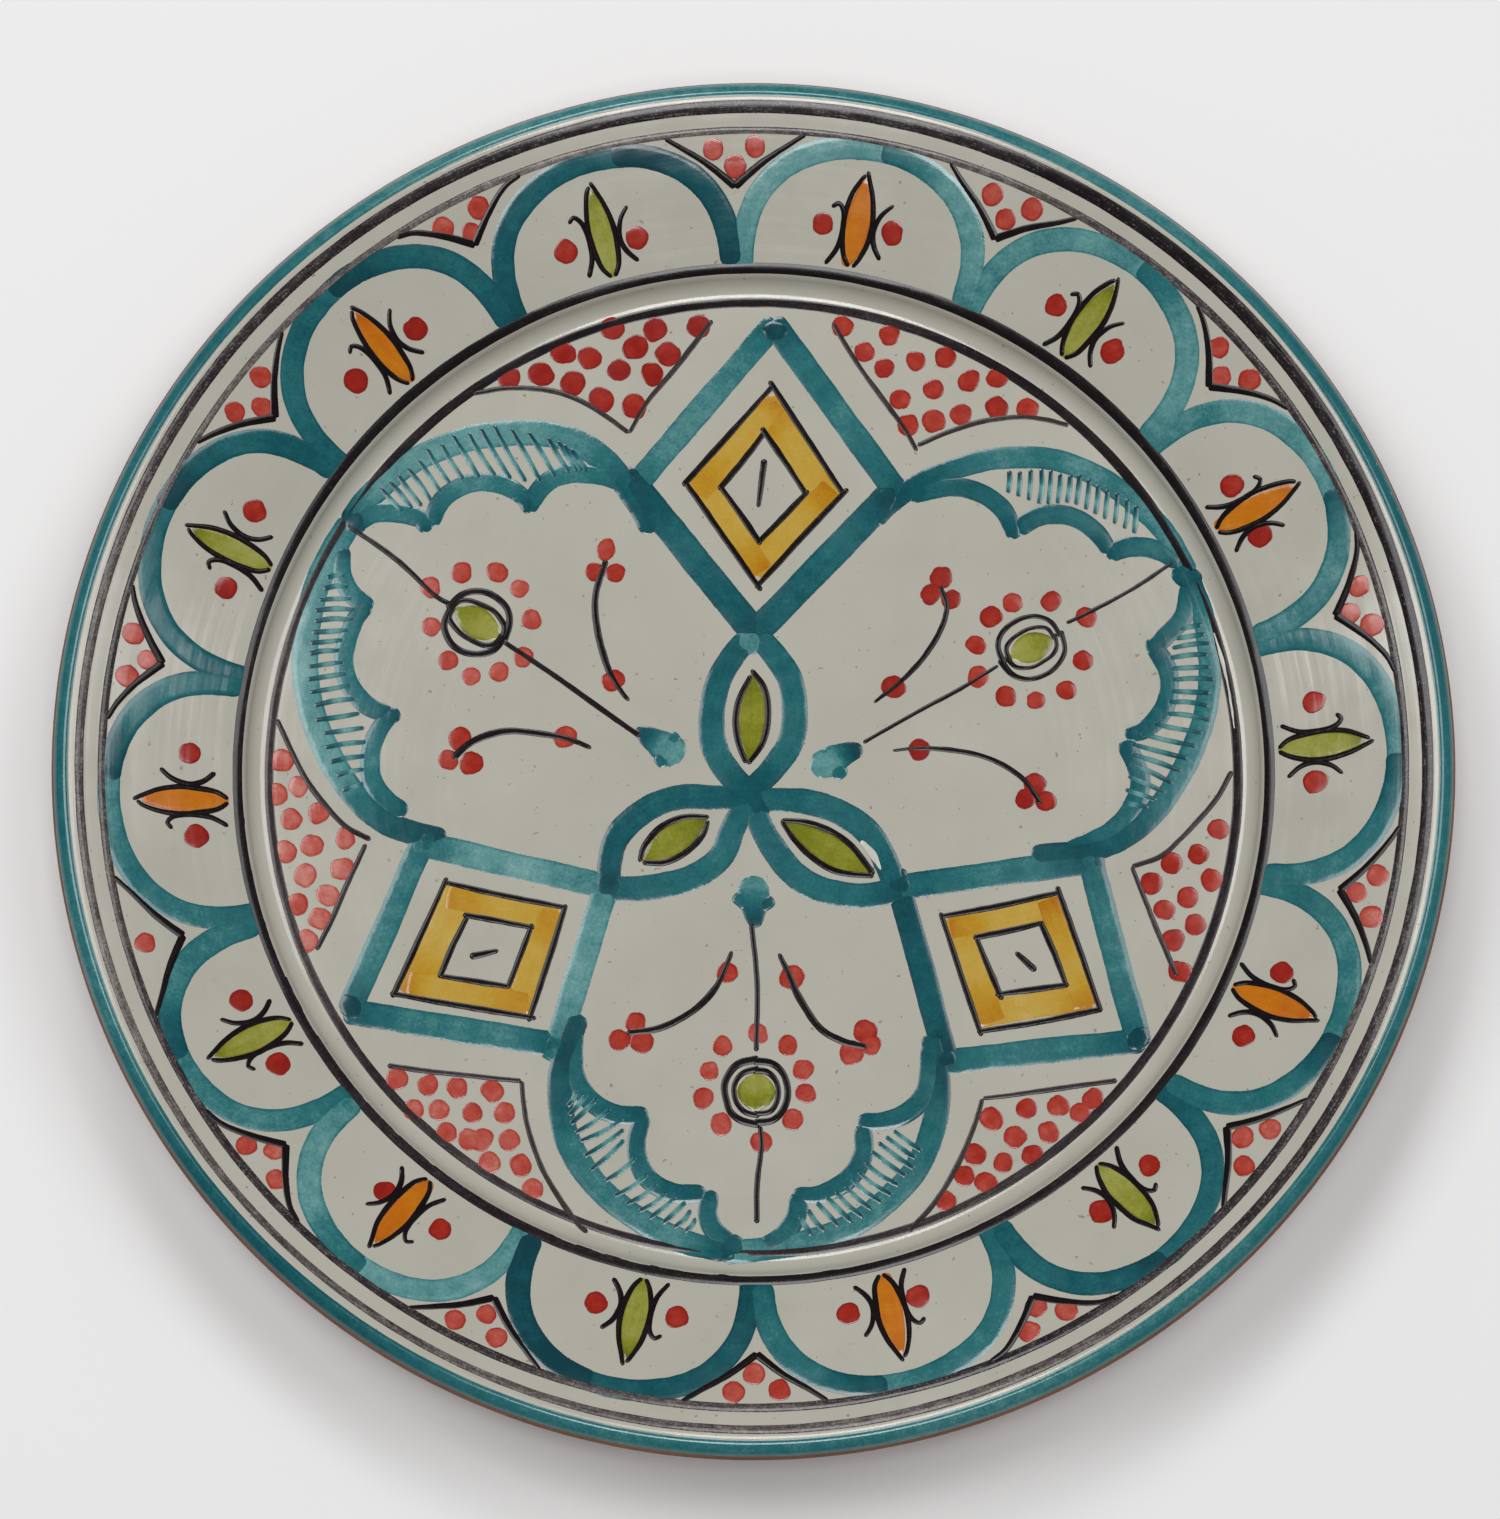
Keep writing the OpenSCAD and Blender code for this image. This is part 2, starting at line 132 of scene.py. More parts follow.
class Value:
    """Something that varies over a surface. A sum written with it adds its own Math nodes."""

    def __init__(self, finish, socket):
        self.finish, self.socket = finish, socket

    def sum(self, operation, first, second):
        """Adds one Math node."""
        return self.finish.node("ShaderNodeMath", {"operation": operation}, {0: first, 1: second})

    def __add__(self, other):
        return self.sum("ADD", self, other)

    def __radd__(self, other):
        return self.sum("ADD", other, self)

    def __sub__(self, other):
        return self.sum("SUBTRACT", self, other)

    def __rsub__(self, other):
        return self.sum("SUBTRACT", other, self)

    def __mul__(self, other):
        return self.sum("MULTIPLY", self, other)

    def __rmul__(self, other):
        return self.sum("MULTIPLY", other, self)

    def __abs__(self):
        return self.sum("ABSOLUTE", self, 0.0)


class Finish:
    """A finish being mixed: its material, and the nodes that lead to its Principled shader."""

    def __init__(self, name):
        self.material = bpy.data.materials.new(name)
        self.material.use_nodes = True
        self.tree = self.material.node_tree
        self.shader = self.tree.nodes["Principled BSDF"]
        here = self.node("ShaderNodeTexCoord", out="Object")
        self.here = self.node("ShaderNodeVectorMath", {"operation": "SCALE"},
                              {0: here, "Scale": 1 / MM})
        split = self.node("ShaderNodeSeparateXYZ", sockets={0: self.here})
        self.x, self.y, self.z = (Value(self, s) for s in split.socket.node.outputs)

    def node(self, kind, settings=None, sockets=None, out=0):
        """Adds a node: its settings first, then the values or links of its sockets."""
        made = self.tree.nodes.new(kind)
        for key, value in (settings or {}).items():
            if key == "stops":
                ramp = made.color_ramp.elements
                while len(ramp) < len(value):
                    ramp.new(0.5)
                for stop, (place, colour) in zip(ramp, value):
                    stop.position, stop.color = place, colour
            else:
                setattr(made, key, value)
        for key, value in (sockets or {}).items():
            if isinstance(value, Value):
                self.tree.links.new(value.socket, made.inputs[key])
            else:
                made.inputs[key].default_value = value
        return Value(self, made.outputs[out])

    def noise(self, size, vector=None, detail=2.0, roughness=0.5):
        """Even noise from 0 to 1 whose lumps are about size millimetres across."""
        return self.node("ShaderNodeTexNoise", None, {
            "Vector": vector or self.here, "Scale": 1 / size, "Detail": detail,
            "Roughness": roughness})

    def mark(self, name):
        """A value that the brush left on each point of a stroke."""
        return self.node("ShaderNodeAttribute", {"attribute_name": name}, out="Fac")

    def ease(self, value, low, high, start=0.0, end=1.0):
        """Goes smoothly from start to end while value goes from low to high."""
        return self.node("ShaderNodeMapRange", {"interpolation_type": "SMOOTHSTEP"},
                         {0: value, 1: low, 2: high, 3: start, 4: end})

    def place(self, x, y, z):
        """A place put together from three values."""
        return self.node("ShaderNodeCombineXYZ", None, {0: x, 1: y, 2: z})

    def mix(self, amount, first, second):
        """A colour between two."""
        return self.node("ShaderNodeMix", {"data_type": "RGBA"}, {0: amount, 6: first, 7: second},
                         out=2)

    def tones(self, value, *colours):
        """A colour for a value from 0 to 1, through evenly spaced tones."""
        stops = [(i / (len(colours) - 1), linear(*c)) for i, c in enumerate(colours)]
        return self.node("ShaderNodeValToRGB", {"stops": stops}, {0: value})

    def radius(self):
        """Distance from the plate's axis, in millimetres."""
        flat = self.place(self.x, self.y, 0.0)
        return self.node("ShaderNodeVectorMath", {"operation": "LENGTH"}, {0: flat}, out="Value")

    def relief(self, *heights):
        """Bumps of the given heights, each a value from 0 to 1 and its depth in millimetres."""
        normal = None
        for value, depth in heights:
            sockets = {"Height": value, "Distance": depth * MM, "Strength": 1.0}
            if normal:
                sockets["Normal"] = normal
            normal = self.node("ShaderNodeBump", None, sockets)
        self.wear("Normal", normal)

    def wear(self, socket, value):
        """Gives one of the shader's sockets its value or link."""
        if isinstance(value, Value):
            self.tree.links.new(value.socket, self.shader.inputs[socket])
        else:
            self.shader.inputs[socket].default_value = value


clay = Finish("bare_clay")
grit = clay.noise(0.5, detail=3.0)
cloud = clay.noise(18, detail=3.0)
groove = clay.noise(1.0, clay.place(clay.radius() * 0.8, clay.noise(30) * 0.6, 0.0))
clay.wear("Base Color", clay.mix(
    clay.ease(grit, 0.62, 0.7) * 0.5,
    clay.tones(cloud * 0.7 + groove * 0.3, (92, 62, 48), (126, 88, 68), (150, 110, 86)),
    linear(70, 48, 40)))
clay.wear("Roughness", clay.ease(grit, 0.3, 0.7, 0.78, 0.92))
clay.wear("Specular IOR Level", 0.3)
clay.relief((groove, 0.25), (grit, 0.12))

lip_arc = [math.radians(a) for a in range(85, -61, -8)]
wall = [(roll[0] + clay_roll * math.cos(a), roll[1] + clay_roll * math.sin(a)) for a in lip_arc]
under_rim = [(heel_r + 1.8, foot_top + 1.0), (heel_r + 0.6, foot_top + 0.3), (heel_r - 1, foot_top)]
face_radii = ([5 * i for i in range(21)] + [103, 104.5] + [floor_r + 0.5 * i for i in range(11)]
              + [110.5 + 3.5 * i for i in range(10)] + [144, 145.2])
lay("clay_dish", turned(
    [(r, dish_height(r) - glaze_depth) for r in face_radii] + wall + under_rim
    + [(95, foot_top), (60, foot_top), (0, foot_top)]), clay, "clay", "clay_body")

# ---- Foot ring ----
# The ring that the plate stands on, turned from the same clay as the body. Its edges are sponged
# round, and it is left bare so that it doesn't stick in the kiln.

foot_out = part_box("foot_ring")[1].x / MM
lay("turned_foot", turned([
    (foot_out - 11.1, foot_top + 0.2), (foot_out - 9.8, 1.1), (foot_out - 9.3, 0.3),
    (foot_out - 8.6, 0), (foot_out - 2.4, 0), (foot_out - 1.7, 0.3), (foot_out - 1.2, 1.1),
    (foot_out, foot_top + 0.2)], closed=True), clay, "clay", "foot_ring")

# ---- White glaze ----
# A tin white glaze poured over the whole face, glossy, slightly grey and full of small specks. It
# thins out and stops on the lip, where it is wiped off.


def white(finish):
    """The glaze's colour, for the glaze and for what shows through the colours."""
    cloud = finish.noise(22, detail=3.0)
    ground = finish.tones(cloud, (168, 165, 153), (177, 174, 162), (183, 180, 169))
    speck = finish.noise(1.3, detail=1.0)
    ground = finish.mix(finish.ease(speck, 0.74, 0.79) * 0.6, ground, linear(112, 100, 90))
    smudge = finish.ease(finish.noise(7, detail=5.0, roughness=0.65), 0.64, 0.8) * 0.3
    ground = finish.mix(smudge, ground, linear(128, 124, 120))
    bare = finish.ease(finish.radius(), plate_r - 1.2, plate_r - 0.6)
    return finish.mix(bare, ground, linear(150, 130, 110))


def glazed(finish, colour, depth=0.0, hills=None):
    """The gloss that the glaze gives to everything on the face."""
    finish.wear("Base Color", colour)
    finish.wear("Roughness", finish.ease(finish.noise(9), 0.3, 0.7, 0.1, 0.17))
    finish.wear("IOR", 1.5)
    wheel = finish.noise(1.0, finish.place(finish.radius() * 0.35, finish.noise(60) * 0.5, 0.0))
    bumps = [(wheel, 0.05), (finish.noise(9, detail=1.0), 0.05), (finish.noise(0.8), 0.004)]
    finish.relief(*bumps, *([(hills, depth)] if hills else []))


glaze = Finish("white_tin_glaze")
glazed(glaze, white(glaze))
lip_end = roll[0] + 2.6
lip_radii = [145.5 + 0.25 * i for i in range(15)] + [lip_end]
lay("white_glaze_face", turned(
    [(r, dish_height(r)) for r in face_radii + lip_radii]
    + [(r, dish_height(r) - 1.5 * glaze_depth) for r in reversed(face_radii)]),
    glaze, "white_glaze", "white_face_glaze")

# ---- Lip band ----
# A band of teal run round the lip with a loaded brush while the plate turns, so its edges wander
# a little and it is thick in one place and thin in the next.

random.seed(14)
lip_gap = 0.25       # the bare edge always left outside the band
sunk = 0.015         # how far the edges of a stroke lie under the face of the glaze


def mark(bm, name):
    """The layer of a mesh that keeps one thing about the brush for each of its points."""
    return bm.verts.layers.float.get(name) or bm.verts.layers.float.new(name)


def wander(along, side, seed):
    """A slow uneven change along a stroke, from about -1 to 1."""
    return (noise.noise(Vector((along * 0.11, side, seed)))
            + 0.5 * noise.noise(Vector((along * 0.45, side, seed))))


def ring_stroke(bm, r, width, load, lift=0.0, ridge=0.1, steps=420, rows=6, uneven=0.08,
                toward=0.0, fuller=0.0):
    """One line of colour run round the turning plate, fuller on the side it is toward."""
    across, strength, hand = mark(bm, "across"), mark(bm, "load"), mark(bm, "hand")
    seed = random.uniform(0, 50)
    grid = bmesh.ops.create_grid(bm, x_segments=steps, y_segments=rows, size=1.0)["verts"]
    for v in grid:
        angle, side = (v.co.x + 1) * math.pi, math.copysign(abs(v.co.y) ** 0.6, v.co.y)
        turn = Vector((math.cos(angle), math.sin(angle), 0))
        drift = noise.noise(turn * 1.3 + Vector((seed, 0, 0)))
        edge = noise.noise(turn * 24 + Vector((seed, side, 3)))
        full = fuller * math.cos(angle - math.radians(toward))
        at = (r + side * width / 2 * (1.05 + full + 0.14 * drift)
              + uneven * (edge * side + 1.4 * drift))
        v[across], v[hand] = side, seed
        at = min(at, plate_r - lip_gap)
        v[strength] = load + full + 0.3 * noise.noise(turn * 2.2 + Vector((0, 0, seed)))
        v.co = at * turn
        v.co.z = dish_height(at) + lift + ridge * (1 - side ** 6) - sunk
    bmesh.ops.remove_doubles(bm, verts=grid, dist=0.001)
    bmesh.ops.recalc_face_normals(bm, faces=bm.faces)


def streaked(finish, size=1.0):
    """Streaks that run with the brush, finer or coarser by size."""
    side = finish.mark("across")
    return finish.noise(size, finish.place(finish.x * 0.1, finish.y * 0.1,
                                           side * 2.4 + finish.mark("hand")), detail=3.0)


def brushed(finish, *tones, streak=0.15, blotch=0.3, edge=0.12, grain=0.45,
            thin=0.985, dry=0.0):
    """Brushed colour: tones by how loaded the brush was, streaks, blotches and darker edges."""
    side = abs(finish.mark("across"))
    pooled = finish.ease(side, 0.68, 0.93) * edge
    depth = (finish.mark("load") + (streaked(finish) - 0.5) * streak
             + (finish.noise(2.6, detail=3.0) - 0.5) * blotch
             + (finish.noise(0.7, detail=4.0, roughness=0.7) - 0.5) * grain + pooled)
    colour = finish.tones(depth, *tones)
    ragged = side + (finish.noise(0.5) - 0.5) * 0.08
    gone = finish.ease(ragged, thin, 1.0)
    if dry:
        scratch = streaked(finish, 0.4) * 0.5 + finish.noise(0.5, detail=3.0) * 0.5
        gone = gone + (1 - gone) * dry * finish.ease(scratch - depth * 0.16, 0.42, 0.56)
    glazed(finish, finish.mix(gone, colour, white(finish)), 0.01, 1 - gone)


teal_tones = [(142, 178, 174), (94, 145, 145), (38, 107, 111), (6, 82, 90), (0, 58, 68)]
teal = Finish("teal_brushed")
brushed(teal, *teal_tones)
bm = bmesh.new()
ring_stroke(bm, 148.0, 3.8, 0.55, rows=8)
lay("lip_band_stroke", bm, teal, "teal", "lip_band")

# ---- Lines round the plate ----
# Four lines run round with a thin brush of black: two dry, speckled ones near the lip, and a full
# dark one on each side of the step that frames the floor.

line_black = Finish("black_wheel_line")
black_tones = [(124, 118, 112), (88, 81, 80), (54, 47, 49), (30, 23, 26), (18, 12, 14)]
brushed(line_black, *black_tones, streak=0.4, blotch=0.35, dry=0.08)
line_black.wear("Specular IOR Level", 0.3)
dry_black = Finish("dry_black_line")
brushed(dry_black, *black_tones, streak=0.5, blotch=0.5, dry=0.3)
dry_black.wear("Specular IOR Level", 0.3)
for name, node, r, width, load, toward, fuller, finish, slot in (
        ("outer_rim_line", "rim_line_outer", 143.85, 2.1, 0.5, 50, 0.25, dry_black, "grey_line"),
        ("inner_rim_line", "rim_line_inner", 139.15, 1.6, 0.48, 300, 0.12, dry_black, "grey_line"),
        ("step_line", "floor_line_outer", 111.1, 2.35, 0.88, 60, 0.12, line_black, "black_line"),
        ("floor_line", "floor_line_inner", 104.85, 1.95, 0.66, 60, 0.1, line_black, "black_line")):
    bm = bmesh.new()
    ring_stroke(bm, r, width, load, lift=0.04, rows=4, toward=toward, fuller=fuller)
    lay(name, bm, finish, slot, node)

# ---- Rim arches ----
# Fourteen teal arches, one over each bud. Each is two strokes of a broad brush, from the feet up,
# that meet near the top in a darker patch. Every fresh dip of the brush starts dark.


def turn(points, facing):
    """Points drawn with the rim at the top, turned to face the rim at an angle in degrees."""
    a = math.radians(facing)
    return [(x * math.sin(a) + y * math.cos(a), y * math.sin(a) - x * math.cos(a))
            for x, y in points]


def flowing(points, fineness=6):
    """A smooth line through the points."""
    spots = [Vector(p) for p in points]
    spots = [spots[0] * 2 - spots[1]] + spots + [spots[-1] * 2 - spots[-2]]
    line = []
    for a, b, c, d in zip(spots, spots[1:], spots[2:], spots[3:]):
        for i in range(fineness):
            t = i / fineness
            line.append(b + 0.5 * t * (c - a + t * (2 * a - 5 * b + 4 * c - d
                                                    + t * (3 * b - a - 3 * c + d))))
    return line + [spots[-2]]


def blend(values, t):
    """The value at t of 0 to 1 through an evenly spaced list, or a single value."""
    if not isinstance(values, (list, tuple)):
        return values
    at = min(max(t, 0.0), 1.0) * (len(values) - 1)
    i = min(int(at), len(values) - 2)
    return values[i] + (values[i + 1] - values[i]) * (at - i)


def brush(bm, points, width, load=0.5, lift=0.0, ridge=0.1, blunt=0.6, shake=0.1, rows=6):
    """One stroke of the brush along the points, in millimetres on the plate.

    The width and the load of colour may change along it. Blunt is the length of the rounded
    ends in widths, shake how far the edges wander in millimetres.
    """
    across, strength, hand = mark(bm, "across"), mark(bm, "load"), mark(bm, "hand")
    line = flowing(points)
    run = [0.0]
    for a, b in zip(line, line[1:]):
        run.append(run[-1] + (b - a).length)
    length, seed = run[-1], random.uniform(0, 50)
    tip = max(0.05, blunt * blend(width, 0.5))
    steps = max(8, int(length / max(0.45, 0.16 * blend(width, 0.5))))
    grid = bmesh.ops.create_grid(bm, x_segments=steps, y_segments=rows, size=1.0)["verts"]
    for v in grid:
        t, side = (v.co.x + 1) / 2, math.copysign(abs(v.co.y) ** 0.6, v.co.y)
        t = t * t * (3 - 2 * t) * 0.35 + t * 0.65
        along = t * length
        i = min(max(bisect(run, along) - 1, 0), len(line) - 2)
        step = line[i + 1] - line[i]
        centre = line[i] + step * ((along - run[i]) / max(1e-6, step.length))
        ahead = (line[min(i + 2, len(line) - 1)] - line[max(i - 1, 0)]).normalized()
        near = min(along, length - along) / tip
        end = 1.0 if near >= 1 else math.sqrt(max(0.0, 1 - (1 - near) ** 2))
        half = 0.5 * blend(width, t) * max(0.04, end)
        out = side * half + shake * wander(along, side * 0.8, seed) * (0.4 + abs(side)) * end
        x, y = centre.x - ahead.y * out, centre.y + ahead.x * out
        v[across], v[hand] = side, seed
        v[strength] = blend(load, t) + 0.1 * wander(along, 5.0, seed)
        r = math.hypot(x, y)
        v.co = (x, y, dish_height(r) + lift + ridge * end * (1 - side ** 6)
                - sunk - 0.05 * (1 - end))
    bmesh.ops.recalc_face_normals(bm, faces=bm.faces)


def dab(bm, x, y, size, load, lift=0.06, ridge=0.09, long=1.0, facing=0.0):
    """One touch of the brush: a small raised blob, not quite round."""
    across, strength, hand = mark(bm, "across"), mark(bm, "load"), mark(bm, "hand")
    seed, spin = random.uniform(0, 50), math.radians(facing)
    ball = bmesh.ops.create_uvsphere(bm, u_segments=24, v_segments=12, radius=1.0)["verts"]
    for v in ball:
        side, height = math.hypot(v.co.x, v.co.y), v.co.z
        angle = math.atan2(v.co.y, v.co.x)
        ring = Vector((math.cos(angle), math.sin(angle), seed))
        reach = size * side * (1 + 0.16 * noise.noise(ring) + 0.07 * noise.noise(ring * 3))
        dx, dy = reach * math.cos(angle) * long, reach * math.sin(angle)
        px = x + dx * math.cos(spin) - dy * math.sin(spin)
        py = y + dx * math.sin(spin) + dy * math.cos(spin)
        v[across], v[hand] = side, seed
        v[strength] = load + 0.18 * noise.noise(Vector((dx, dy, seed)) * 0.5)
        v.co = (px, py, dish_height(math.hypot(px, py)) + lift + ridge * height * 0.6)


def press(bm, x, y, size, load):
    """One dot from a round brush, pressed a little long in some direction."""
    dab(bm, x, y, size, load, long=random.uniform(1.0, 1.12), facing=random.uniform(0, 180))


def pen(bm, points, width, load, blunt=0.6, shake=0.08):
    """One stroke of a thin pointed brush full of black, over the colours."""
    brush(bm, points, width, load, lift=0.1, ridge=0.08, blunt=blunt, shake=shake, rows=4)


bud_at = [105.7, 79.2, 53.3, 27.3, 1.7, -25.3, -49.8, -76.2, -101.8, -127.5, -150.5, -176,
          -202.6, -228.7]
chevron_at = [118, 91.8, 65.5, 39.8, 14.1, -12.8, -38.4, -63, -89.7, -115.3, -139.9, -162.5,
              -189.4, -216.1, -242]
arch_load = [(0.75, 0.9), (0.28, 0.3), (0.35, 0.3), (0.35, 0.42), (0.5, 0.5), (0.5, 0.55),
             (0.65, 0.65), (0.5, 0.55), (0.8, 0.95), (0.25, 0.3), (0.5, 0.5), (0.5, 0.55),
             (0.65, 0.7), (0.65, 0.7)]
arch_foot = 111.2
bm = bmesh.new()
for before, after, (left, right) in zip(chevron_at, chevron_at[1:], arch_load):
    middle, spread = (before + after) / 2, (before - after) / 2 - 0.6
    top = random.uniform(136.8, 138.2)
    bow = []
    for i in range(31):
        phi = math.pi * i / 30
        angle = math.radians(middle + spread * math.cos(phi) * (1 + 0.06 * math.sin(phi) ** 2))
        r = arch_foot + (top - arch_foot) * math.sin(phi) ** 0.88
        bow.append((r * math.cos(angle), r * math.sin(angle)))
    lap = random.choice((16, 17, 18))
    brush(bm, bow[:lap + 1], [5.0, 5.3, 5.2, 5.0, 4.8], [left + 0.12, left, left, left - 0.05],
          blunt=0.2, shake=0.14)
    brush(bm, bow[:lap - 3:-1], [5.0, 5.4, 5.2, 4.9, 4.6],
          [right + 0.12, right, right, right, right + 0.2, right + 0.4], lift=0.03, blunt=0.5,
          shake=0.14)
lay("rim_arch_strokes", bm, teal, "teal", "rim_arches")

# ---- Rim buds ----
# A pointed bud stands in every arch, filled in green and orange by turns with one thin stroke,
# then outlined in black. The orange often misses its outline a little.


def petal_width(widest, ends=0.15, steps=9):
    """Widths along a leaf that is pointed at both ends."""
    return [max(ends, widest * math.sin(math.pi * i / (steps - 1)) ** 0.75) for i in range(steps)]


green = Finish("green_wash")
brushed(green, (164, 161, 116), (150, 150, 72), (126, 128, 26), (98, 102, 8), (70, 74, 6),
        streak=0.25, blotch=0.35, edge=0.25)
orange = Finish("orange_wash")
brushed(orange, (192, 140, 70), (191, 114, 6), (183, 97, 0), (160, 82, 0), (132, 58, 2),
        streak=0.3, blotch=0.35, edge=0.12)
pencil = Finish("fine_black_line")
brushed(pencil, *black_tones[1:], streak=0.25, blotch=0.3, edge=0.05, dry=0.03)
pencil.wear("Specular IOR Level", 0.2)
fills = (bmesh.new(), bmesh.new())      # green, orange
outline, whisker = bmesh.new(), bmesh.new()
for i, at in enumerate(bud_at):
    is_orange = i % 2
    slip = random.uniform(-0.5, 0.5) if is_orange else random.uniform(-0.2, 0.2)
    foot_slip = random.uniform(-1.4, 1.4) if is_orange else 0.0
    stem = [(foot_slip, 112.8), (slip + foot_slip * 0.4, 117), (slip, 124), (slip * 0.5, 131.6)]
    brush(fills[is_orange], turn(stem, at), [1.6, 3.6, 5.0, 5.8, 5.9, 5.6, 4.6, 2.8, 0.6],
          [0.45, 0.3, 0.35, 0.4, 0.6 if is_orange else 0.8], ridge=0.08, blunt=0.2, shake=0.1)
    wide = random.uniform(2.75, 3.1)
    for side in (-1, 1):
        bent = [(side * 0.3, 113.2), (side * 1.9, 115.6), (side * (wide - 0.2), 119.4),
                (side * wide, 123.3), (side * (wide - 0.6), 127.4), (side * 1.1, 130.7),
                (side * 0.1, 132.6 + 0.4 * side)]
        bent = [(x + random.uniform(-0.12, 0.12), y) for x, y in bent]
        pen(outline, turn(bent, at), [0.9, 1.2, 1.25, 1.1, 0.9], 0.95, blunt=0.5, shake=0.06)
    for twig in ([(-6.4, 125), (-4.9, 126), (-3.5, 124.3), (-3.1, 121), (-3.6, 117), (-5.5, 113.4)],
                 [(6.9, 126.7), (4.7, 124.3), (3.6, 121), (4.2, 118), (6.3, 115.2)]):
        jog, lean = random.uniform(-0.9, 0.9), random.uniform(-0.04, 0.04)
        pen(whisker, turn([(x + lean * (y - 120), y + jog) for x, y in twig], at),
            [0.9, 1.15, 1.2, 1.0], [0.8, 1.0, 0.95, 0.85])
lay("green_bud_fills", fills[0], green, "green", "rim_buds_green")
lay("orange_bud_fills", fills[1], orange, "orange", "rim_buds_orange")
lay("bud_outline_strokes", outline, pencil, "black_line", "bud_outlines")
lay("bud_whisker_strokes", whisker, pencil, "black_line", "bud_whiskers")

# ---- Rim chevrons ----
# A thin black chevron points to the middle between every two arches, drawn in two strokes that
# start at the point and thin out toward the lip.

bm = bmesh.new()
for at in chevron_at[1:]:
    point = random.uniform(127.3, 129.6)
    for side in (-1, 1):
        reach = math.radians(random.uniform(6.3, 7.0)) * 138.4
        arm = [(side * -0.2, point), (side * reach * 0.34, point + 4.4),
               (side * reach * 0.68, point + 7.6), (side * reach * 0.96, 137.8)]
        pen(bm, turn(arm, at), [1.75, 1.5, 1.25, 0.95], [1.0, 0.95, 0.85, 0.75], blunt=0.4)
lay("chevron_strokes", bm, pencil, "black_line", "rim_chevrons")

# ---- Rim dots ----
# Red dots stand beside each bud, deep red and raised, and three lighter ones inside each chevron,
# but for one chevron that has a single dot. Each is one touch of a round brush.

red = Finish("red_dots")
brushed(red, (192, 124, 112), (178, 82, 70), (166, 54, 40), (152, 32, 18), (134, 18, 8),
        streak=0.1, blotch=0.5, edge=0.2, grain=0.5)
bm = bmesh.new()
for left, right in ((109.8, 102.3), (82.8, 75.6), (57.0, 49.4), (30.5, 24.5), (6.2, -2.05),
                    (-22.1, -29.6), (-46.1, -52.8), (-73.2, -80.4), (-97.7, -105.9),
                    (-123.3, -130.1), (-147.1, -154.6), (-172.3, -180.9), (-198.6, -207.1),
                    (-224.4, -232.6)):
    for at in (left, right):
        (x, y), = turn([(0, random.uniform(119.8, 121.8))], at)
        dab(bm, x, y, random.uniform(2.3, 2.65), random.uniform(0.7, 0.9))
lay("bud_side_dots", bm, red, "red", "bud_dots")
one_dot_at = -162.5
bm = bmesh.new()
for at in chevron_at[1:]:
    spots = [(0, 135.5)] if at == one_dot_at else [(-4.7, 135.4), (4.7, 135.8), (0.2, 131.8)]
    for x, y in turn([(x + random.uniform(-0.4, 0.4), y) for x, y in spots], at):
        dab(bm, x, y, random.uniform(2.15, 2.5), random.uniform(0.25, 0.5))
lay("chevron_inner_dots", bm, red, "red", "chevron_dots")

# ---- Lozenges ----
# Three lozenges reach from the knot in the middle to the step. Each is four straight strokes of
# the broad teal brush, darkest where the brush first touched down.

lozenges = {88: [((0.8, 28.6), (-31, 66), 0.72), ((-29.5, 60.5), (2, 101), 0.45),
                 ((30.6, 61), (0.2, 101.2), 0.55), ((-2.8, 28.2), (30, 65.2), 0.7)],
            213: [((-1.6, 37.8), (-30, 71.2), 0.3), ((-29, 66.3), (4, 102.6), 0.5),
                  ((27.3, 66.2), (2.6, 102.4), 0.5), ((-6.8, 37.8), (27.4, 70.6), 0.3)],
            325: [((5.6, 37.8), (-27.6, 73.6), 0.55), ((-27.3, 69), (2.2, 103), 0.5),
                  ((30.2, 68.6), (0, 103), 0.55), ((0.2, 37), (30.4, 72.8), 0.82)]}
teal_bands = bmesh.new()
for facing, bands in lozenges.items():
    for low, high, load in bands:
        middle = ((low[0] + high[0]) / 2 + random.uniform(-0.3, 0.3), (low[1] + high[1]) / 2)
        wide = 6.3 if facing == 88 and high[1] < 90 else 5.7    # two of the top one are broader
        brush(teal_bands, turn([low, middle, high], facing), wide,
              [load + 0.2, load, load - 0.05, load, load + 0.3], lift=random.choice((0, 0.02)),
              blunt=0.35, shake=0.14)
laps = {88: [((-30.8, 65), (-23.5, 54), 0.9), ((28.3, 64.2), (25.2, 57.6), 0.95)],
        213: [((-28.5, 70), (-25.5, 66.2), 0.7), ((26.8, 69.6), (23.6, 65.6), 0.75)],
        325: [((-27, 72.4), (-23.6, 68.6), 0.75), ((29.6, 71.8), (26.4, 68.2), 0.95)]}
tips = {88: (1.5, 99.2), 213: (3.7, 101.3), 325: (0.7, 101.8)}
for facing, patches in laps.items():
    for start, end, load in patches:
        brush(teal_bands, turn([start, end], facing), 4.9, [load, load, load - 0.2], lift=0.04,
              blunt=0.5)
    x, y = tips[facing]
    brush(teal_bands, turn([(x - 0.3, y - 3.2), (x, y), (x + 0.2, y + 1.8)], facing),
          [5.4, 6.2, 6.0], 1.0, lift=0.08, blunt=0.5)
lay("lozenge_strokes", teal_bands, teal, "teal", "lozenge_bands")

# ---- Yellow frames ----
# Inside each lozenge is a smaller frame washed in yellow with an orange touch at its corners, with
# thin black lines drawn over both its edges and a tick in the middle.

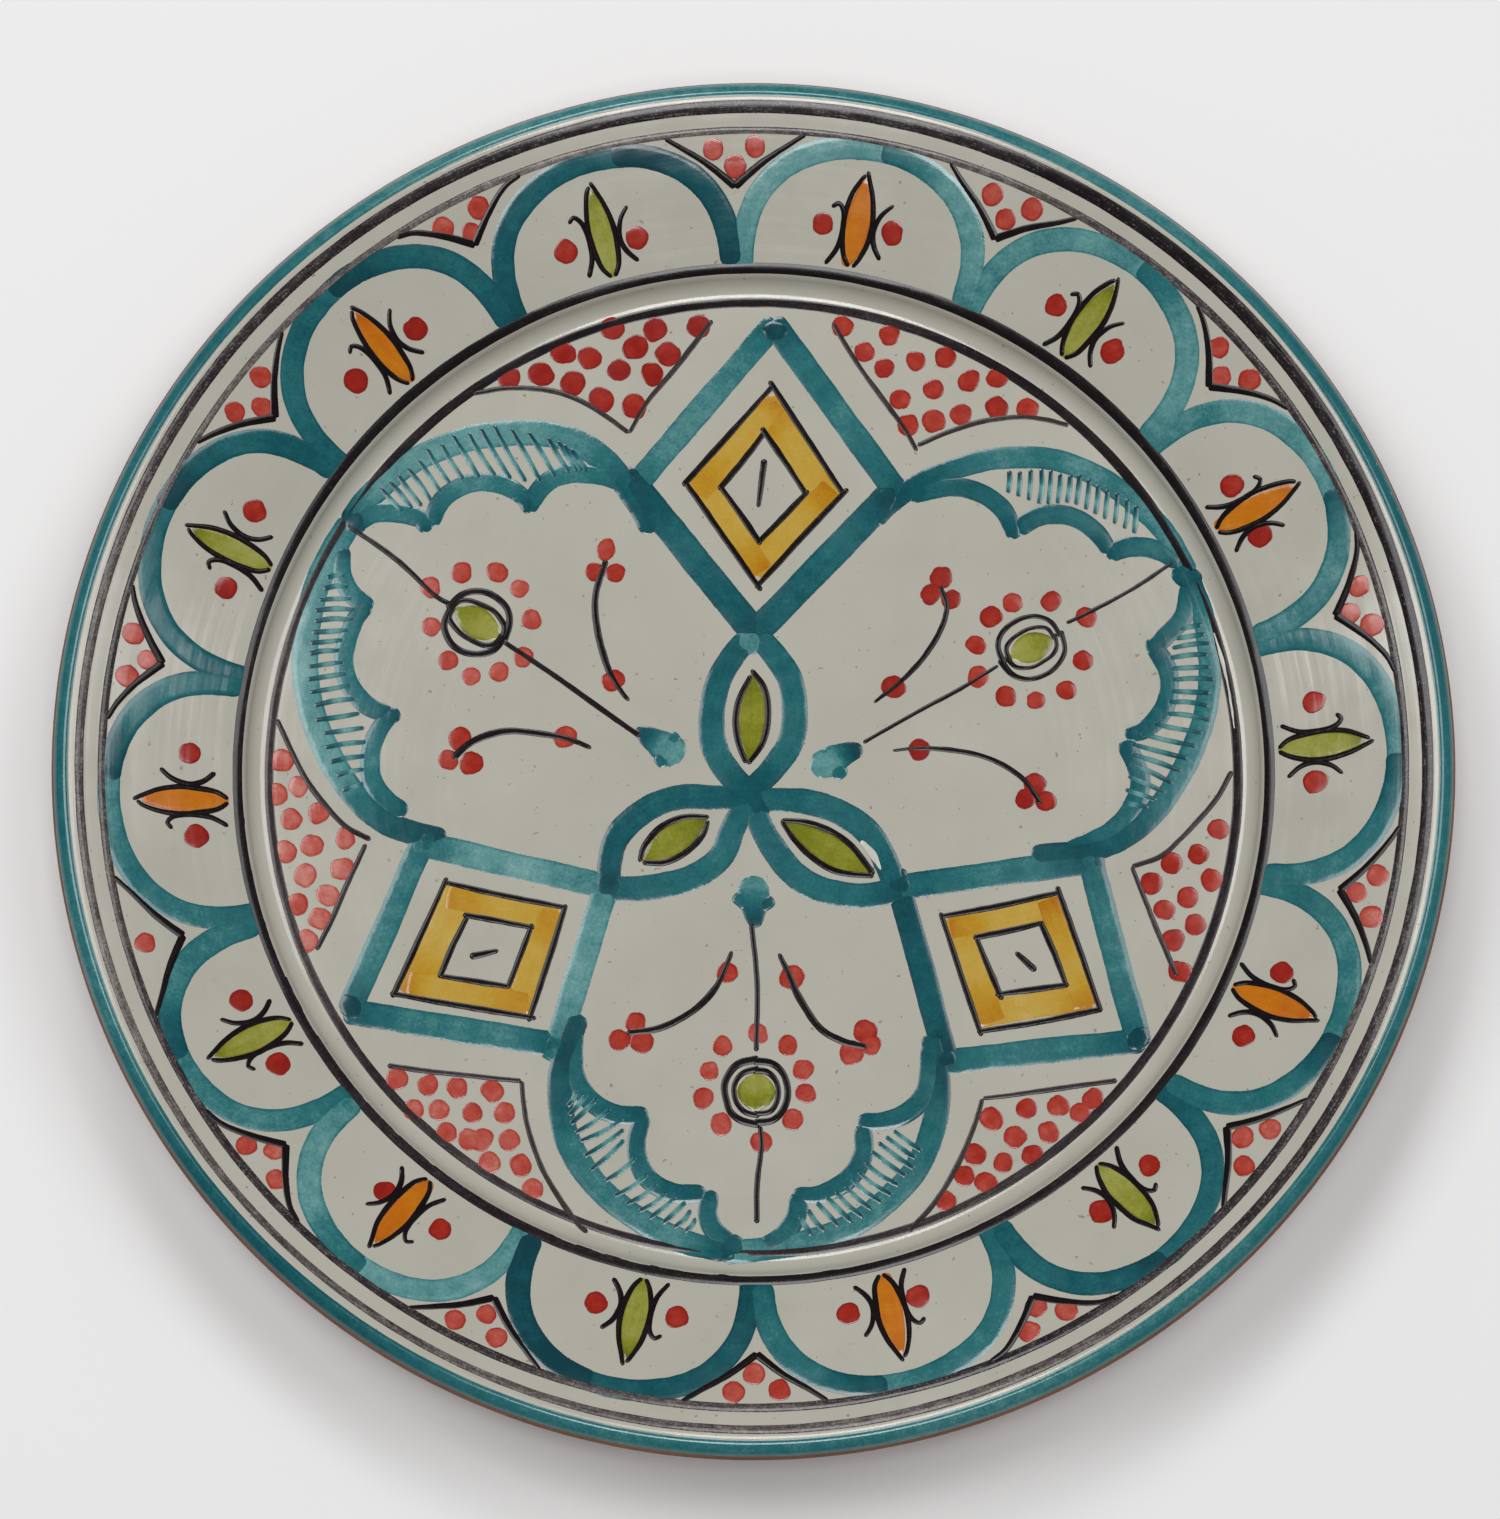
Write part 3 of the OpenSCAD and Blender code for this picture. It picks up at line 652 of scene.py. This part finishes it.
frames = {88: ([(1.2, 86), (17.5, 62.2), (-0.5, 41), (-17, 63.5)],
               [(-0.2, 75.5), (9.3, 62), (-0.5, 50.8), (-9.3, 62.8)], [(0, 69.5), (-1, 58.5)]),
          213: ([(1, 91.5), (15.6, 69.2), (-3.2, 50.5), (-19.2, 69.7)],
                [(-1.2, 81), (6.7, 69), (-2.8, 59), (-11, 70)], [(-1, 73.5), (-3.3, 67.5)]),
          325: ([(0.2, 91), (18.9, 72.6), (3, 51.6), (-15.8, 69.4)],
                [(0, 82), (9.8, 71.5), (2.5, 60.3), (-8, 70)], [(1.2, 75), (0.3, 69)])}
yellow = Finish("yellow_wash")
brushed(yellow, (192, 168, 102), (187, 154, 64), (182, 140, 34), (176, 122, 10), (162, 94, 0),
        streak=0.2, blotch=0.3, edge=0.12)
wash, outline, tick = bmesh.new(), bmesh.new(), bmesh.new()
for facing, (outer, inner, stroke) in frames.items():
    for i in range(4):
        far = [Vector(outer[j % 4]) * 0.5 + Vector(inner[j % 4]) * 0.5 for j in (i, i + 1)]
        step = (far[1] - far[0]).normalized()
        width = (Vector(outer[i]) - Vector(inner[i])).cross(step)
        reach = step * abs(width) * 0.42
        brush(wash, turn([far[0] - reach, (far[0] + far[1]) / 2, far[1] + reach], facing),
              abs(width) - 0.2, [random.uniform(0.5, 0.95), 0.6, 0.35, 0.3, 0.35, 0.4 + 0.15 * i],
              lift=0.012 * i, ridge=0.05, blunt=0.08, shake=0.15)
    for corners in (outer, inner):
        for i in range(4):
            a, b = Vector(corners[i]), Vector(corners[(i + 1) % 4])
            step = (b - a).normalized()
            past = (random.uniform(0.2, 1.6), random.uniform(0.1, 1.2))
            middle = (a + b) / 2
            middle += Vector((random.uniform(-0.25, 0.25), random.uniform(-0.25, 0.25)))
            pen(outline, turn([a - step * past[0], middle, b + step * past[1]], facing),
                [1.15, 1.4, 1.3, 1.1], [1.0, 0.95, 0.9], blunt=0.5, shake=0.1)
    pen(tick, turn(stroke, facing), [1.6, 1.4, 1.0], 0.95)
lay("yellow_frame_washes", wash, yellow, "yellow", "yellow_frames")
lay("frame_outline_strokes", outline, pencil, "black_line", "frame_outlines")
lay("lozenge_tick_strokes", tick, pencil, "black_line", "lozenge_ticks")

# ---- Petals ----
# A petal stands between every two lozenges: a wide teal arch, a scalloped line inside it and
# fine slanting hatching between the two, put in with the tip of the brush.

# Dip, tone and red_load say how full of colour the brush was. A heart is its place, its half sizes
# and the half sizes of the loop round it. Hatching is a count and the lines it runs between.
petals = {
    150: {"arch": ([(-46.5, 49.5), (-49, 58), (-49.5, 65), (-47, 74), (-42, 83), (-35, 91),
                    (-26, 97.5), (-15, 102), (-5, 103.7), (5, 103.8)],
                   [(34.5, 45.5), (38, 50), (42, 58), (43.9, 65), (43.6, 73.2), (39.3, 82.6),
                    (32, 91.8), (22.6, 98.9), (12, 102.8), (3, 104)]),
          "dip": ([0.9, 0.8, 0.4], [0.9, 0.75, 0.45]), "lap": [(2, 101), (7, 105.6)],
          "tone": 0.3, "arch_width": 5.7, "red_load": 0.5,
          "scallops": [[(-46, 60), (-45, 67), (-42, 71.5), (-36, 74.3), (-30, 74.5), (-27.2, 72.5)],
                       [(-28.8, 73.6), (-29.5, 80), (-27, 86), (-22, 90), (-15, 91.7), (-9.6, 91)],
                       [(-10.4, 89.6), (-10, 95), (-7, 99.5), (-1.5, 102.8)],
                       [(3.5, 102.8), (8, 100.5), (10.7, 96), (12, 91), (10.4, 87.8)],
                       [(11.6, 88.3), (18, 89), (24, 86), (27.5, 80), (27.5, 74), (25.2, 70.5)],
                       [(24.8, 71.8), (32, 71.5), (37, 68), (40, 62), (41, 56)]],
          "hatch": [(18, [((-48.8, 75.2), (-44.6, 71.5)), ((-41.9, 84.6), (-35.4, 76.2)),
                          ((-34.6, 92.7), (-27.7, 84.6)), ((-26.2, 97.7), (-21.5, 91.5)),
                          ((-18.5, 100.8), (-13.1, 91.9)), ((-10, 102.3), (-6.9, 98.5))]),
                    (17, [((14, 103), (11.5, 95)), ((20, 100.8), (15.8, 91)), ((27.7, 98), (23, 89)),
                          ((35, 93.5), (28.5, 81.5)), ((40, 87), (31.5, 73)), ((42.7, 76), (38, 67)),
                          ((42.3, 71.5), (39.5, 64.5))])],
          "stem": [[(3, 104), (1.5, 90), (-1, 80), (-1.2, 75.5)],
                   [(-2.5, 61.5), (-3.2, 50), (-4.5, 38), (-5.8, 25)]],
          "heart": (-1.7, 68.4, 3.7, 6.2, 7.1, 6.9),
          "dots": [(0, 81.2), (6.3, 77), (10.2, 70.3), (9.5, 64.3), (4.7, 58.5), (-3.3, 55.8),
                   (-8.8, 58.7), (-12.6, 63.5), (-12.2, 69.5), (-7.5, 76.5)],
          "sprigs": [[(-30.5, 57.8), (-25, 56), (-19.5, 51), (-16, 44), (-14, 38), (-13.3, 32.8)],
                     [(24.5, 51.2), (16, 49), (9.5, 44.5), (4, 39), (1, 34), (-0.2, 31)]],
          "berries": [(-31, 58.3), (-25.8, 58.5), (-29.2, 53.7), (-14, 39), (21, 52), (26.5, 52.3),
                      (23, 48), (2, 36.3)],
          "stalk": (1.35, 0.95)},
    26: {"arch": ([(-38, 47.5), (-40, 52), (-41.5, 60), (-41, 70), (-38.5, 80), (-33, 90), (-25, 97),
                   (-16, 101.5), (-8, 104), (3, 104.5)],
                  [(43.3, 45.5), (44.3, 49), (47.2, 56), (48.5, 63), (47, 72), (42.5, 81), (35, 90.5),
                   (25, 98), (14, 102.5), (1, 104.4)]),
         "dip": ([0.85, 0.85, 0.6], [0.9, 0.85, 0.7]), "lap": [(-0.5, 102), (6, 105.4)],
         "tone": 0.45, "arch_width": 4.9, "red_load": 0.75,
         "scallops": [[(-40, 57), (-38, 66), (-34, 71.5), (-28, 74.5), (-21, 74)],
                      [(-22.8, 74.4), (-23.5, 81), (-20.5, 87), (-15, 90.5), (-8.8, 91.4)],
                      [(-9.3, 89.9), (-8.5, 96), (-5, 101), (0.5, 104)],
                      [(4, 103.6), (10, 99.5), (12.5, 94), (13.4, 91), (12.3, 88.6)],
                      [(12.6, 90.3), (20, 90.5), (26, 87), (29, 81), (28.4, 75.6)],
                      [(29, 75.2), (38, 74.5), (43, 70.5), (46, 63), (45.5, 52)]],
         "hatch": [(14, [((-36.2, 80), (-31, 77)), ((-33.1, 86.9), (-25.4, 82.3)),
                         ((-29.2, 92.7), (-23, 88.5)), ((-23.8, 97.3), (-17, 93)),
                         ((-16.9, 101.5), (-10.8, 97.7))]),
                   (17, [((14, 103), (12.5, 97)), ((20, 102), (16.5, 92.5)), ((27, 99), (22.5, 90)),
                         ((34, 94.5), (28, 86)), ((39.5, 88), (30, 76.5)), ((44, 80), (35, 73.5)),
                         ((45.5, 74), (41.5, 68.5))])],
         "stem": [[(-1.5, 102.5), (0, 92), (0.5, 82), (0.5, 75.5)],
                  [(2.5, 58), (3.5, 48), (4, 38), (4.5, 30), (5, 24)]],
         "heart": (2.1, 66.2, 3.6, 5.4, 6.8, 7.2),
         "dots": [(1.2, 80), (9.5, 75), (13.8, 68.8), (12.9, 61.8), (9.3, 56.5), (2.8, 52.8),
                  (-3.7, 55.7), (-8, 61.5), (-8.8, 67), (-5.3, 74.8)],
         "sprigs": [[(-19, 54.5), (-14, 53.7), (-9.5, 49.5), (-6, 43.5), (-3.5, 37), (-2, 30)],
                    [(34, 52.7), (27, 51.5), (20, 47), (14.5, 40), (11, 33.5), (9.3, 29)]],
         "berries": [(-20.5, 55.5), (-15.3, 55.3), (-18.2, 51.8), (-3.2, 35.5), (29.5, 53.3),
                     (33.8, 53.8), (31.5, 50), (11.7, 34.3)],
         "stalk": (1.0, 0.7)},
    271: {"arch": ([(-37, 58), (-38.5, 68), (-37.5, 77), (-34, 86), (-28, 93), (-20, 99),
                    (-10, 102.5), (0, 104), (9, 104.8)],
                   [(38.2, 52.5), (40, 57), (42.5, 65), (42.5, 72), (41, 80), (36, 88.5), (28, 96),
                    (18, 101.5), (7, 104.6)]),
          "dip": ([0.85, 0.9, 0.6], [0.9, 0.9, 0.7]), "lap": [(4, 101.6), (9.5, 105.8)],
          "tone": 0.45, "arch_width": 5.4, "red_load": 0.5,
          "scallops": [[(-37, 60), (-36, 70), (-32, 75), (-26, 77), (-20.8, 76.8)],
                       [(-22, 77.4), (-22, 84), (-18.5, 89.5), (-12.5, 92.5), (-6.6, 92.4)],
                       [(-7.9, 91.8), (-7.5, 97), (-4, 101.5), (0.4, 103.5)],
                       [(5.6, 103.6), (10, 100), (11.5, 96), (10.4, 91)],
                       [(11.6, 91.9), (19, 91.5), (24.5, 88), (26.5, 82.5), (25.5, 77), (23.8, 74.8)],
                       [(23.6, 74.9), (31, 74.5), (36.5, 71), (39.5, 65), (39.2, 55)]],
          "hatch": [(13, [((-35, 84), (-28.5, 79)), ((-33, 88.5), (-24.5, 82)),
                          ((-29, 93), (-21, 87.5)), ((-24, 97), (-17.5, 91)),
                          ((-18.5, 100), (-12.5, 93.5)), ((-11, 102), (-8, 97))]),
                    (15, [((17, 100.5), (14, 97)), ((22, 99), (16, 93.5)), ((27, 96), (20, 91.5)),
                          ((32, 92.5), (24, 87.5)), ((37, 87), (29, 80)), ((40, 81), (29, 75.5)),
                          ((41, 77), (34.5, 71)), ((41.5, 73), (39, 69))])],
          "stem": [[(1, 98.5), (0.8, 90), (-0.3, 82), (0, 77.5)],
                   [(0.5, 61.5), (0, 50), (0.3, 42), (1, 33.5)]],
          "heart": (0.6, 70.2, 4.4, 4.6, 6.8, 6.9),
          "dots": [(-0.3, 81), (8.2, 77), (11.9, 71.3), (10.6, 65.5), (7.8, 60.3), (0.1, 57.6),
                   (-6.3, 60.2), (-9.5, 65.5), (-10, 70.8), (-7.2, 76.2)],
          "sprigs": [[(-23.5, 61), (-18, 59.5), (-13, 56.5), (-9, 50), (-6.5, 44), (-4.7, 40.2)],
                     [(28.3, 57), (21, 56), (14, 52.5), (9, 47.5), (6.3, 42), (5.3, 39.5)]],
          "berries": [(-24, 60.5), (-20, 62), (-23, 57.5), (-7.5, 45.5), (25, 58.8), (29.8, 58.5),
                      (26.2, 54.7), (6.5, 44.3)],
          "stalk": (1.35, 0.95)}}
arches, scallops, hatching = bmesh.new(), bmesh.new(), bmesh.new()
for facing, petal in petals.items():
    tone, wide = petal["tone"], petal["arch_width"]
    for i, arch in enumerate(petal["arch"]):
        brush(arches, turn(arch, facing), [wide - 0.4, wide, wide + 0.2, wide, wide - 0.2],
              petal["dip"][i] + [tone] * 4 + [0.45 + 0.4 * i], lift=0.02 + 0.02 * i, blunt=0.4,
              shake=0.16)
    brush(arches, turn(petal["lap"], facing), 5.2, [0.75, 0.9], lift=0.05, blunt=0.5, shake=0.14)
    for scallop in petal["scallops"]:
        brush(scallops, turn(scallop, facing), [4.0, 4.4, 4.4, 4.2, 3.6],
              [0.8, tone + 0.22, tone + 0.18, tone + 0.22, 0.85], lift=0.03, blunt=0.5, shake=0.14)
    for count, guides in petal["hatch"]:
        for i in range(count):
            at = i / (count - 1)
            ends = [Vector((blend([g[j][0] for g in guides], at),
                            blend([g[j][1] for g in guides], at))) for j in (0, 1)]
            ends[0] += (ends[1] - ends[0]) * random.uniform(0.04, 0.14)
            bend = (ends[0] + ends[1]) / 2 + Vector((random.uniform(-0.4, 0.4), 0.3))
            brush(hatching, turn([ends[0], bend, ends[1]], facing),
                  [0.9, 1.15, 1.1, 0.9], [1.0, 0.95, 0.65, 0.32, 0.28, 0.55, 0.9], lift=0.13,
                  ridge=0.03, blunt=0.5, shake=0.08, rows=3)
lay("petal_arch_strokes", arches, teal, "teal", "petal_arches")
lay("petal_scallop_strokes", scallops, teal, "teal", "petal_scallops")
lay("petal_hatch_strokes", hatching, teal, "teal", "petal_hatching")

# ---- Flowers in the petals ----
# A small green heart outlined twice in black hangs on a thin stem in each petal, with ten red dots
# round it, and a bent sprig ends in three red berries on each side.

hearts, outline, stems, stalks = bmesh.new(), bmesh.new(), bmesh.new(), bmesh.new()
dots, berries = bmesh.new(), bmesh.new()
for facing, petal in petals.items():
    x, y, wide, tall, far_x, far_y = petal["heart"]
    brush(hearts, turn([(x + 0.3, y + tall), (x, y), (x - 0.2, y - tall)], facing),
          petal_width(2 * wide), [0.7, 0.55, 0.35, 0.3], ridge=0.08, blunt=0.2)
    for half_x, half_y, thick in ((wide + 0.4, tall + 0.3, 1.1), (far_x, far_y, 1.35)):
        thick *= petal["stalk"][0] / 1.25
        for side in (-1, 1):
            bent = [(x - side * 0.7, y + half_y + 0.3 * side)]
            for i in range(1, 7):
                phi = math.pi * i / 7
                bent.append((x + side * half_x * math.sin(phi) ** 0.9 + random.uniform(-0.2, 0.2),
                             y + half_y * math.cos(phi)))
            bent.append((x - side * 0.8, y - half_y - 0.2 * side))
            pen(outline, turn(bent, facing), [thick, thick, thick, 1.3 * thick],
                [0.8, 0.85, 1.0], blunt=0.5)
    thick, thin = (1.15 * w for w in petal["stalk"])
    for stem in petal["stem"]:
        pen(stems, turn(stem, facing), [thin, thin * 1.1, thin], [0.75, 0.65, 0.9])
    for sprig in petal["sprigs"]:
        pen(stalks, turn(sprig, facing), [thick * 0.9, thick, thick, thick * 0.6],
            [0.75, 0.95, 0.9, 0.7], shake=0.12)
    load = petal["red_load"]
    for px, py in turn(petal["dots"], facing):
        press(dots, px, py, random.uniform(2.05, 2.4), load - 0.12 + random.uniform(-0.12, 0.12))
    for px, py in turn(petal["berries"], facing):
        press(berries, px, py, random.uniform(2.1, 2.6), load + random.uniform(-0.05, 0.2))
lay("flower_heart_fills", hearts, green, "green", "flower_hearts")
lay("heart_outline_strokes", outline, pencil, "black_line", "heart_outlines")
lay("petal_stem_strokes", stems, pencil, "black_line", "petal_stems")
lay("sprig_stalk_strokes", stalks, pencil, "black_line", "sprig_stalks")
lay("flower_ring_dots", dots, red, "red", "flower_dots")
lay("sprig_berries", berries, red, "red", "sprig_dots")

# ---- Sepals ----
# A lobed teal drop hangs at the foot of each petal, three touches of a wet brush, darkest in a
# bead where it was lifted off.

bm = bmesh.new()
for points, width, load in (
        ([(-19, 5.5), (-16.2, 8.2)], 3.6, 0.6), ([(-18.5, 3.5), (-21.2, 1.2)], 3.6, 0.65),
        ([(-25.8, 9.3), (-22, 7), (-15, 2.4)], [2.8, 4.4, 6.4, 7.2, 6.4],
         [1.0, 0.8, 0.4, 0.3, 0.4]),
        ([(17, 1.5), (19.9, -1.7)], 3.8, 0.65), ([(16, 3), (15.6, 5)], 3.4, 0.5),
        ([(24, 5), (18.5, 3), (12.4, -0.5)], [4.2, 4.6, 6.2, 6.6, 5.0],
         [1.0, 0.95, 0.35, 0.25, 0.4]),
        ([(-1, -30), (-4.3, -27.2)], 2.8, 0.65), ([(1, -30.4), (4.6, -28.3)], 2.8, 0.8),
        ([(0.5, -35), (0, -30), (0.2, -22.8)], [3.2, 4.6, 6.6, 7.0, 5.4],
         [0.95, 0.9, 0.65, 0.4, 0.4])):
    brush(bm, points, width, load, lift=0.02, blunt=0.5, shake=0.3)
lay("petal_sepal_strokes", bm, teal, "teal", "petal_sepals")

# ---- Knot ----
# Three teal loops cross in the middle of the plate, each with a green leaf in it. Pale streaks,
# lighter than the white glaze, lie over one loop and over the line round the floor on the right.

bm = bmesh.new()
for points, load in (
        ([(-0.5, 30), (-4, 26), (-7.5, 20), (-9, 13), (-8.5, 5), (-5, -1), (0, -6), (3, -10)], 0.68),
        ([(0.5, 30.5), (5, 25), (8, 20), (9, 13), (8, 6), (4, 0), (-1, -5)], 0.62),
        ([(4, -5.4), (-2, -6), (-8, -6), (-16, -6), (-23, -8.5), (-29, -14), (-31, -20),
          (-31.3, -28)], 0.76),
        ([(0, -6), (-4, -12), (-7, -19), (-13, -23.5), (-21, -25.5), (-28, -26),
          (-33.5, -25.6)], 0.62),
        ([(0, -6.2), (5, -6.5), (12, -7), (19, -9.5), (25, -14), (29, -21), (31.4, -28.5)], 0.66),
        ([(0, -8), (3, -15), (8, -22), (14, -26), (22, -27.5), (28, -27), (33, -25.6)], 0.62)):
    brush(bm, points, [5.0, 5.6, 5.7, 5.6, 5.2], [load + 0.05, load, load - 0.05, load, load + 0.2],
          lift=random.choice((0, 0.02, 0.03)), blunt=0.4, shake=0.15)
for a, b, load in (((-31.2, -22), (-31.2, -28.4), 0.92), ((31.2, -22.5), (31.6, -28), 0.92),
                   ((-1.0, 31.5), (-0.9, 25.4), 0.42)):
    brush(bm, [a, b], 5.6, load, lift=0.05, blunt=0.5)
lay("knot_loop_strokes", bm, teal, "teal", "knot_loops")

# Pale streaks, at their fullest lighter than the white glaze, laid over one knot loop and over the
# floor line on the right.
pale_finish = Finish("pale_streak_glaze")
brushed(pale_finish, (176, 174, 164), (206, 205, 196), streak=0.8, blotch=0.8, edge=0.0, thin=0.7)
bm = bmesh.new()
brush(bm, [(23.2, -15.4), (25.8, -18.6), (27.6, -22)], [0.6, 1.5, 1.4, 0.6], 0.6, lift=0.1,
      shake=0.3)
pale_line_r, pale_line_at = 104.7, (5, 8, 11, 14, 17)      # distance from the axis, degrees round the rim
brush(bm, [(pale_line_r * math.cos(math.radians(a)), pale_line_r * math.sin(math.radians(a)))
           for a in pale_line_at], [0.3, 0.7, 0.5, 0.8, 0.3], 0.5, lift=0.13, shake=0.2)
lay("pale_streak_strokes", bm, pale_finish, "white_glaze")

leaf_fills, leaf_lines = bmesh.new(), bmesh.new()
for right, left in (
        ([(-0.5, 22.3), (2.5, 18), (3.2, 12), (2, 6), (-1.2, 1.3)],
         [(-0.5, 21), (-3, 16), (-3.9, 11), (-3.2, 6), (-1.5, 1.5)]),
        ([(-9.5, -10.3), (-15, -10.3), (-20, -12.5), (-23.5, -16.5), (-24.6, -20.2)],
         [(-9.7, -11), (-11, -14.5), (-14.5, -18), (-19, -20.3), (-24, -20.3)]),
        ([(6, -11), (11.5, -11.5), (17, -13.5), (21.5, -17), (26, -23)],
         [(6, -11), (9, -15.5), (13, -19.5), (18, -22.3), (26, -23.3)])):
    middle = [(Vector(a) + Vector(b)) / 2 for a, b in zip(right, left)]
    widths = [max(0.3, (Vector(a) - Vector(b)).length - 0.2) for a, b in zip(right, left)]
    brush(leaf_fills, middle, widths, [0.75, 0.6, 0.45, 0.5, 0.7], ridge=0.08, blunt=0.1)
    for side in (right, left):
        pen(leaf_lines, side, [1.0, 1.3, 1.4, 1.15], 1.0)
lay("knot_leaf_fills", leaf_fills, green, "green", "knot_leaves")
lay("leaf_outline_strokes", leaf_lines, pencil, "black_line", "leaf_outlines")

# ---- Corners between petals and lozenges ----
# The small three sided fields beside the lozenges are outlined with a thin grey line and filled
# with rows of red dots, some fields deep red and some pale.

corners = (
    (119, 0.85, [[(-13, 103.5), (-5, 100.5), (2, 96), (6.5, 91), (9.5, 86), (12.7, 79)],
                 [(12.7, 79), (20, 83.5), (30, 87.5), (41, 92.6)]],
     [(-4.5, 102.5), (2.3, 100.2), (8.8, 102), (13.2, 98), (20.7, 101.5), (7.3, 94.8),
      (17.5, 92.5), (23.3, 95.2), (11, 88.5), (23.6, 88.3), (16.5, 83.8), (28.8, 96.8),
      (28.8, 90.5), (37.7, 92.8)]),
    (181.5, 0.22, [[(-13.2, 83), (-10, 88.5), (-5, 93), (0, 96.5), (7, 100), (14, 103)],
                   [(-14, 84), (-22, 87.9), (-30, 91.5), (-37, 95)]],
     [(-34.9, 97.1), (-30.1, 94.1), (-26.8, 99), (-25.2, 92.2), (-20.5, 97.2), (-19.3, 89.2),
      (-15.2, 101.5), (-14, 95.7), (-12.7, 88.5), (-8.2, 100.2), (-7, 94.2), (-2.5, 103.3),
      (-1, 98.5), (4.8, 102)]),
    (242, 0.32, [[(12, 83.2), (9.5, 87), (6, 91.5), (0, 97), (-6, 101), (-13, 104.5),
                  (-16, 105.3)], [(12, 83.2), (21, 86.9), (30, 90.5), (39, 93.8)]],
     [(-1.2, 102.5), (9.7, 102), (3.5, 99.3), (20.8, 100.7), (16, 99.5), (13.6, 98.3), (8.4, 95.6),
      (18, 94.2), (24.7, 97), (12, 91), (23.5, 91), (16.5, 88), (29.5, 99.5), (29.3, 93.5),
      (35.7, 95.4)]),
    (298, 0.55, [[(-9.7, 86.3), (-20, 90.2), (-30, 93.8), (-37, 96.4)],
                 [(-9.7, 86.3), (-6, 90), (0, 95), (6, 99), (12, 102), (18, 104)]],
     [(-13.2, 102.2), (-1.7, 102.5), (7.7, 102), (-18.7, 99.3), (-7, 100.5), (1.7, 99),
      (-23.2, 95.3), (-11.8, 96.8), (-2.5, 96), (-17, 92.5), (-9.2, 91), (-26.6, 98.8),
      (-30.5, 97.5)]),
    (355.5, 0.65, [[(14.7, 83), (20, 85.5), (30, 90.3), (38, 94.4)],
                   [(14.7, 83), (12, 89), (8, 93), (3, 97), (-2, 100.5), (-8, 103.3)]],
     [(5, 101.2), (16.2, 100.4), (10.8, 97.2), (26.3, 97.5), (20.4, 95.5), (13.2, 91.7),
      (23.6, 90.6), (18, 87.6), (30, 93), (36.8, 94.9)]),
    (57, 0.65, [[(-8.7, 79.2), (-15, 82.5), (-30, 88.5), (-40, 93.6)],
                [(-9.3, 80.2), (-5, 87), (0, 93), (6, 98), (11, 100.5), (16, 102.2)]],
     [(-15, 100.5), (-3, 102.8), (6.3, 100.5), (-20, 96.3), (-7.8, 98.8), (0.7, 97),
      (-24.8, 91), (-13.3, 93), (-5.2, 91.4), (-18.2, 87), (-9.3, 87), (-13.6, 83), (-28, 98),
      (-30.5, 91.8), (-37.8, 94)]))
lines, dots = bmesh.new(), bmesh.new()
for facing, load, sides, spots in corners:
    for side in sides:
        brush(lines, turn(side, facing), [1.0, 1.2, 1.1], [0.5, 0.3, 0.45], lift=0.09, ridge=0.07,
              shake=0.1, rows=4)
    for x, y in turn(spots, facing):
        size = random.uniform(2.2, 2.5) + (0.3 if load > 0.7 else 0.0)    # a wet brush spreads
        press(dots, x, y, size, load + random.uniform(-0.1, 0.1))
lay("corner_outline_strokes", lines, pencil, "grey_line", "corner_outlines")
lay("corner_field_dots", dots, red, "red", "corner_dots")

# ---- Sheet under the plate ----
# A plain pale sheet of paper lies on the table, a little grey in the soft light. It has no shine
# and is large enough to fill every view.

paper = Finish("pale_sheet")
paper.wear("Base Color", linear(238, 238, 238))
paper.wear("Roughness", 0.9)
paper.wear("Specular IOR Level", 0.1)
bm = bmesh.new()
sheet_half = 1500
bmesh.ops.create_grid(bm, x_segments=1, y_segments=1, size=sheet_half)
sheet = set_down("sheet", bm, paper)

# ---- Light ----
# A dim even room and four softboxes high above the plate. They stand where only the lip and the
# step mirror them to the camera, so the floor and the rim keep their true colours.

room = bpy.data.worlds.new("room")
room.use_nodes = True
room_light = room.node_tree.nodes["Background"]
room_light.inputs["Color"].default_value = (1.0, 1.0, 1.0, 1.0)
room_light.inputs["Strength"].default_value = 0.18
bpy.context.scene.world = room
bpy.context.scene.view_settings.view_transform = "Standard"
plate_centre = Vector((0, 0, 0.02))
for name, place, size, watts in (("softbox_left", (-0.62, 0.29, 1.5), 0.6, 6.9),
                                 ("softbox_right", (0.62, 0.29, 1.5), 0.6, 5.2),
                                 ("softbox_front", (0.0, -0.32, 1.6), 0.45, 7.0),
                                 ("softbox_back", (-0.1, 1.0, 1.5), 0.45, 5.7)):
    lamp = bpy.data.lights.new(name, "AREA")
    lamp.energy, lamp.size = watts, size
    box = bpy.data.objects.new(name, lamp)
    box.location = place
    box.rotation_euler = (plate_centre - box.location).to_track_quat("-Z", "Y").to_euler()
    bpy.context.scene.collection.objects.link(box)

# ---- Camera ----
# It looks down on the plate from the front, about eleven degrees off straight down. A long lens
# from 1.25 m away keeps the plate's far and near sides nearly the same size.

lens = bpy.data.cameras.new("camera")
lens.lens = 138.05
lens.sensor_width = 36
camera = bpy.data.objects.new("camera", lens)
target = Vector((-0.00074, 0.00015, 0.025))
distance = 1.25
tilt = math.radians(78.67)
camera.location = target + distance * Vector((0, -math.cos(tilt), math.sin(tilt)))
camera.rotation_euler = (math.pi / 2 - tilt, 0, 0)
bpy.context.scene.collection.objects.link(camera)
bpy.context.scene.camera = camera
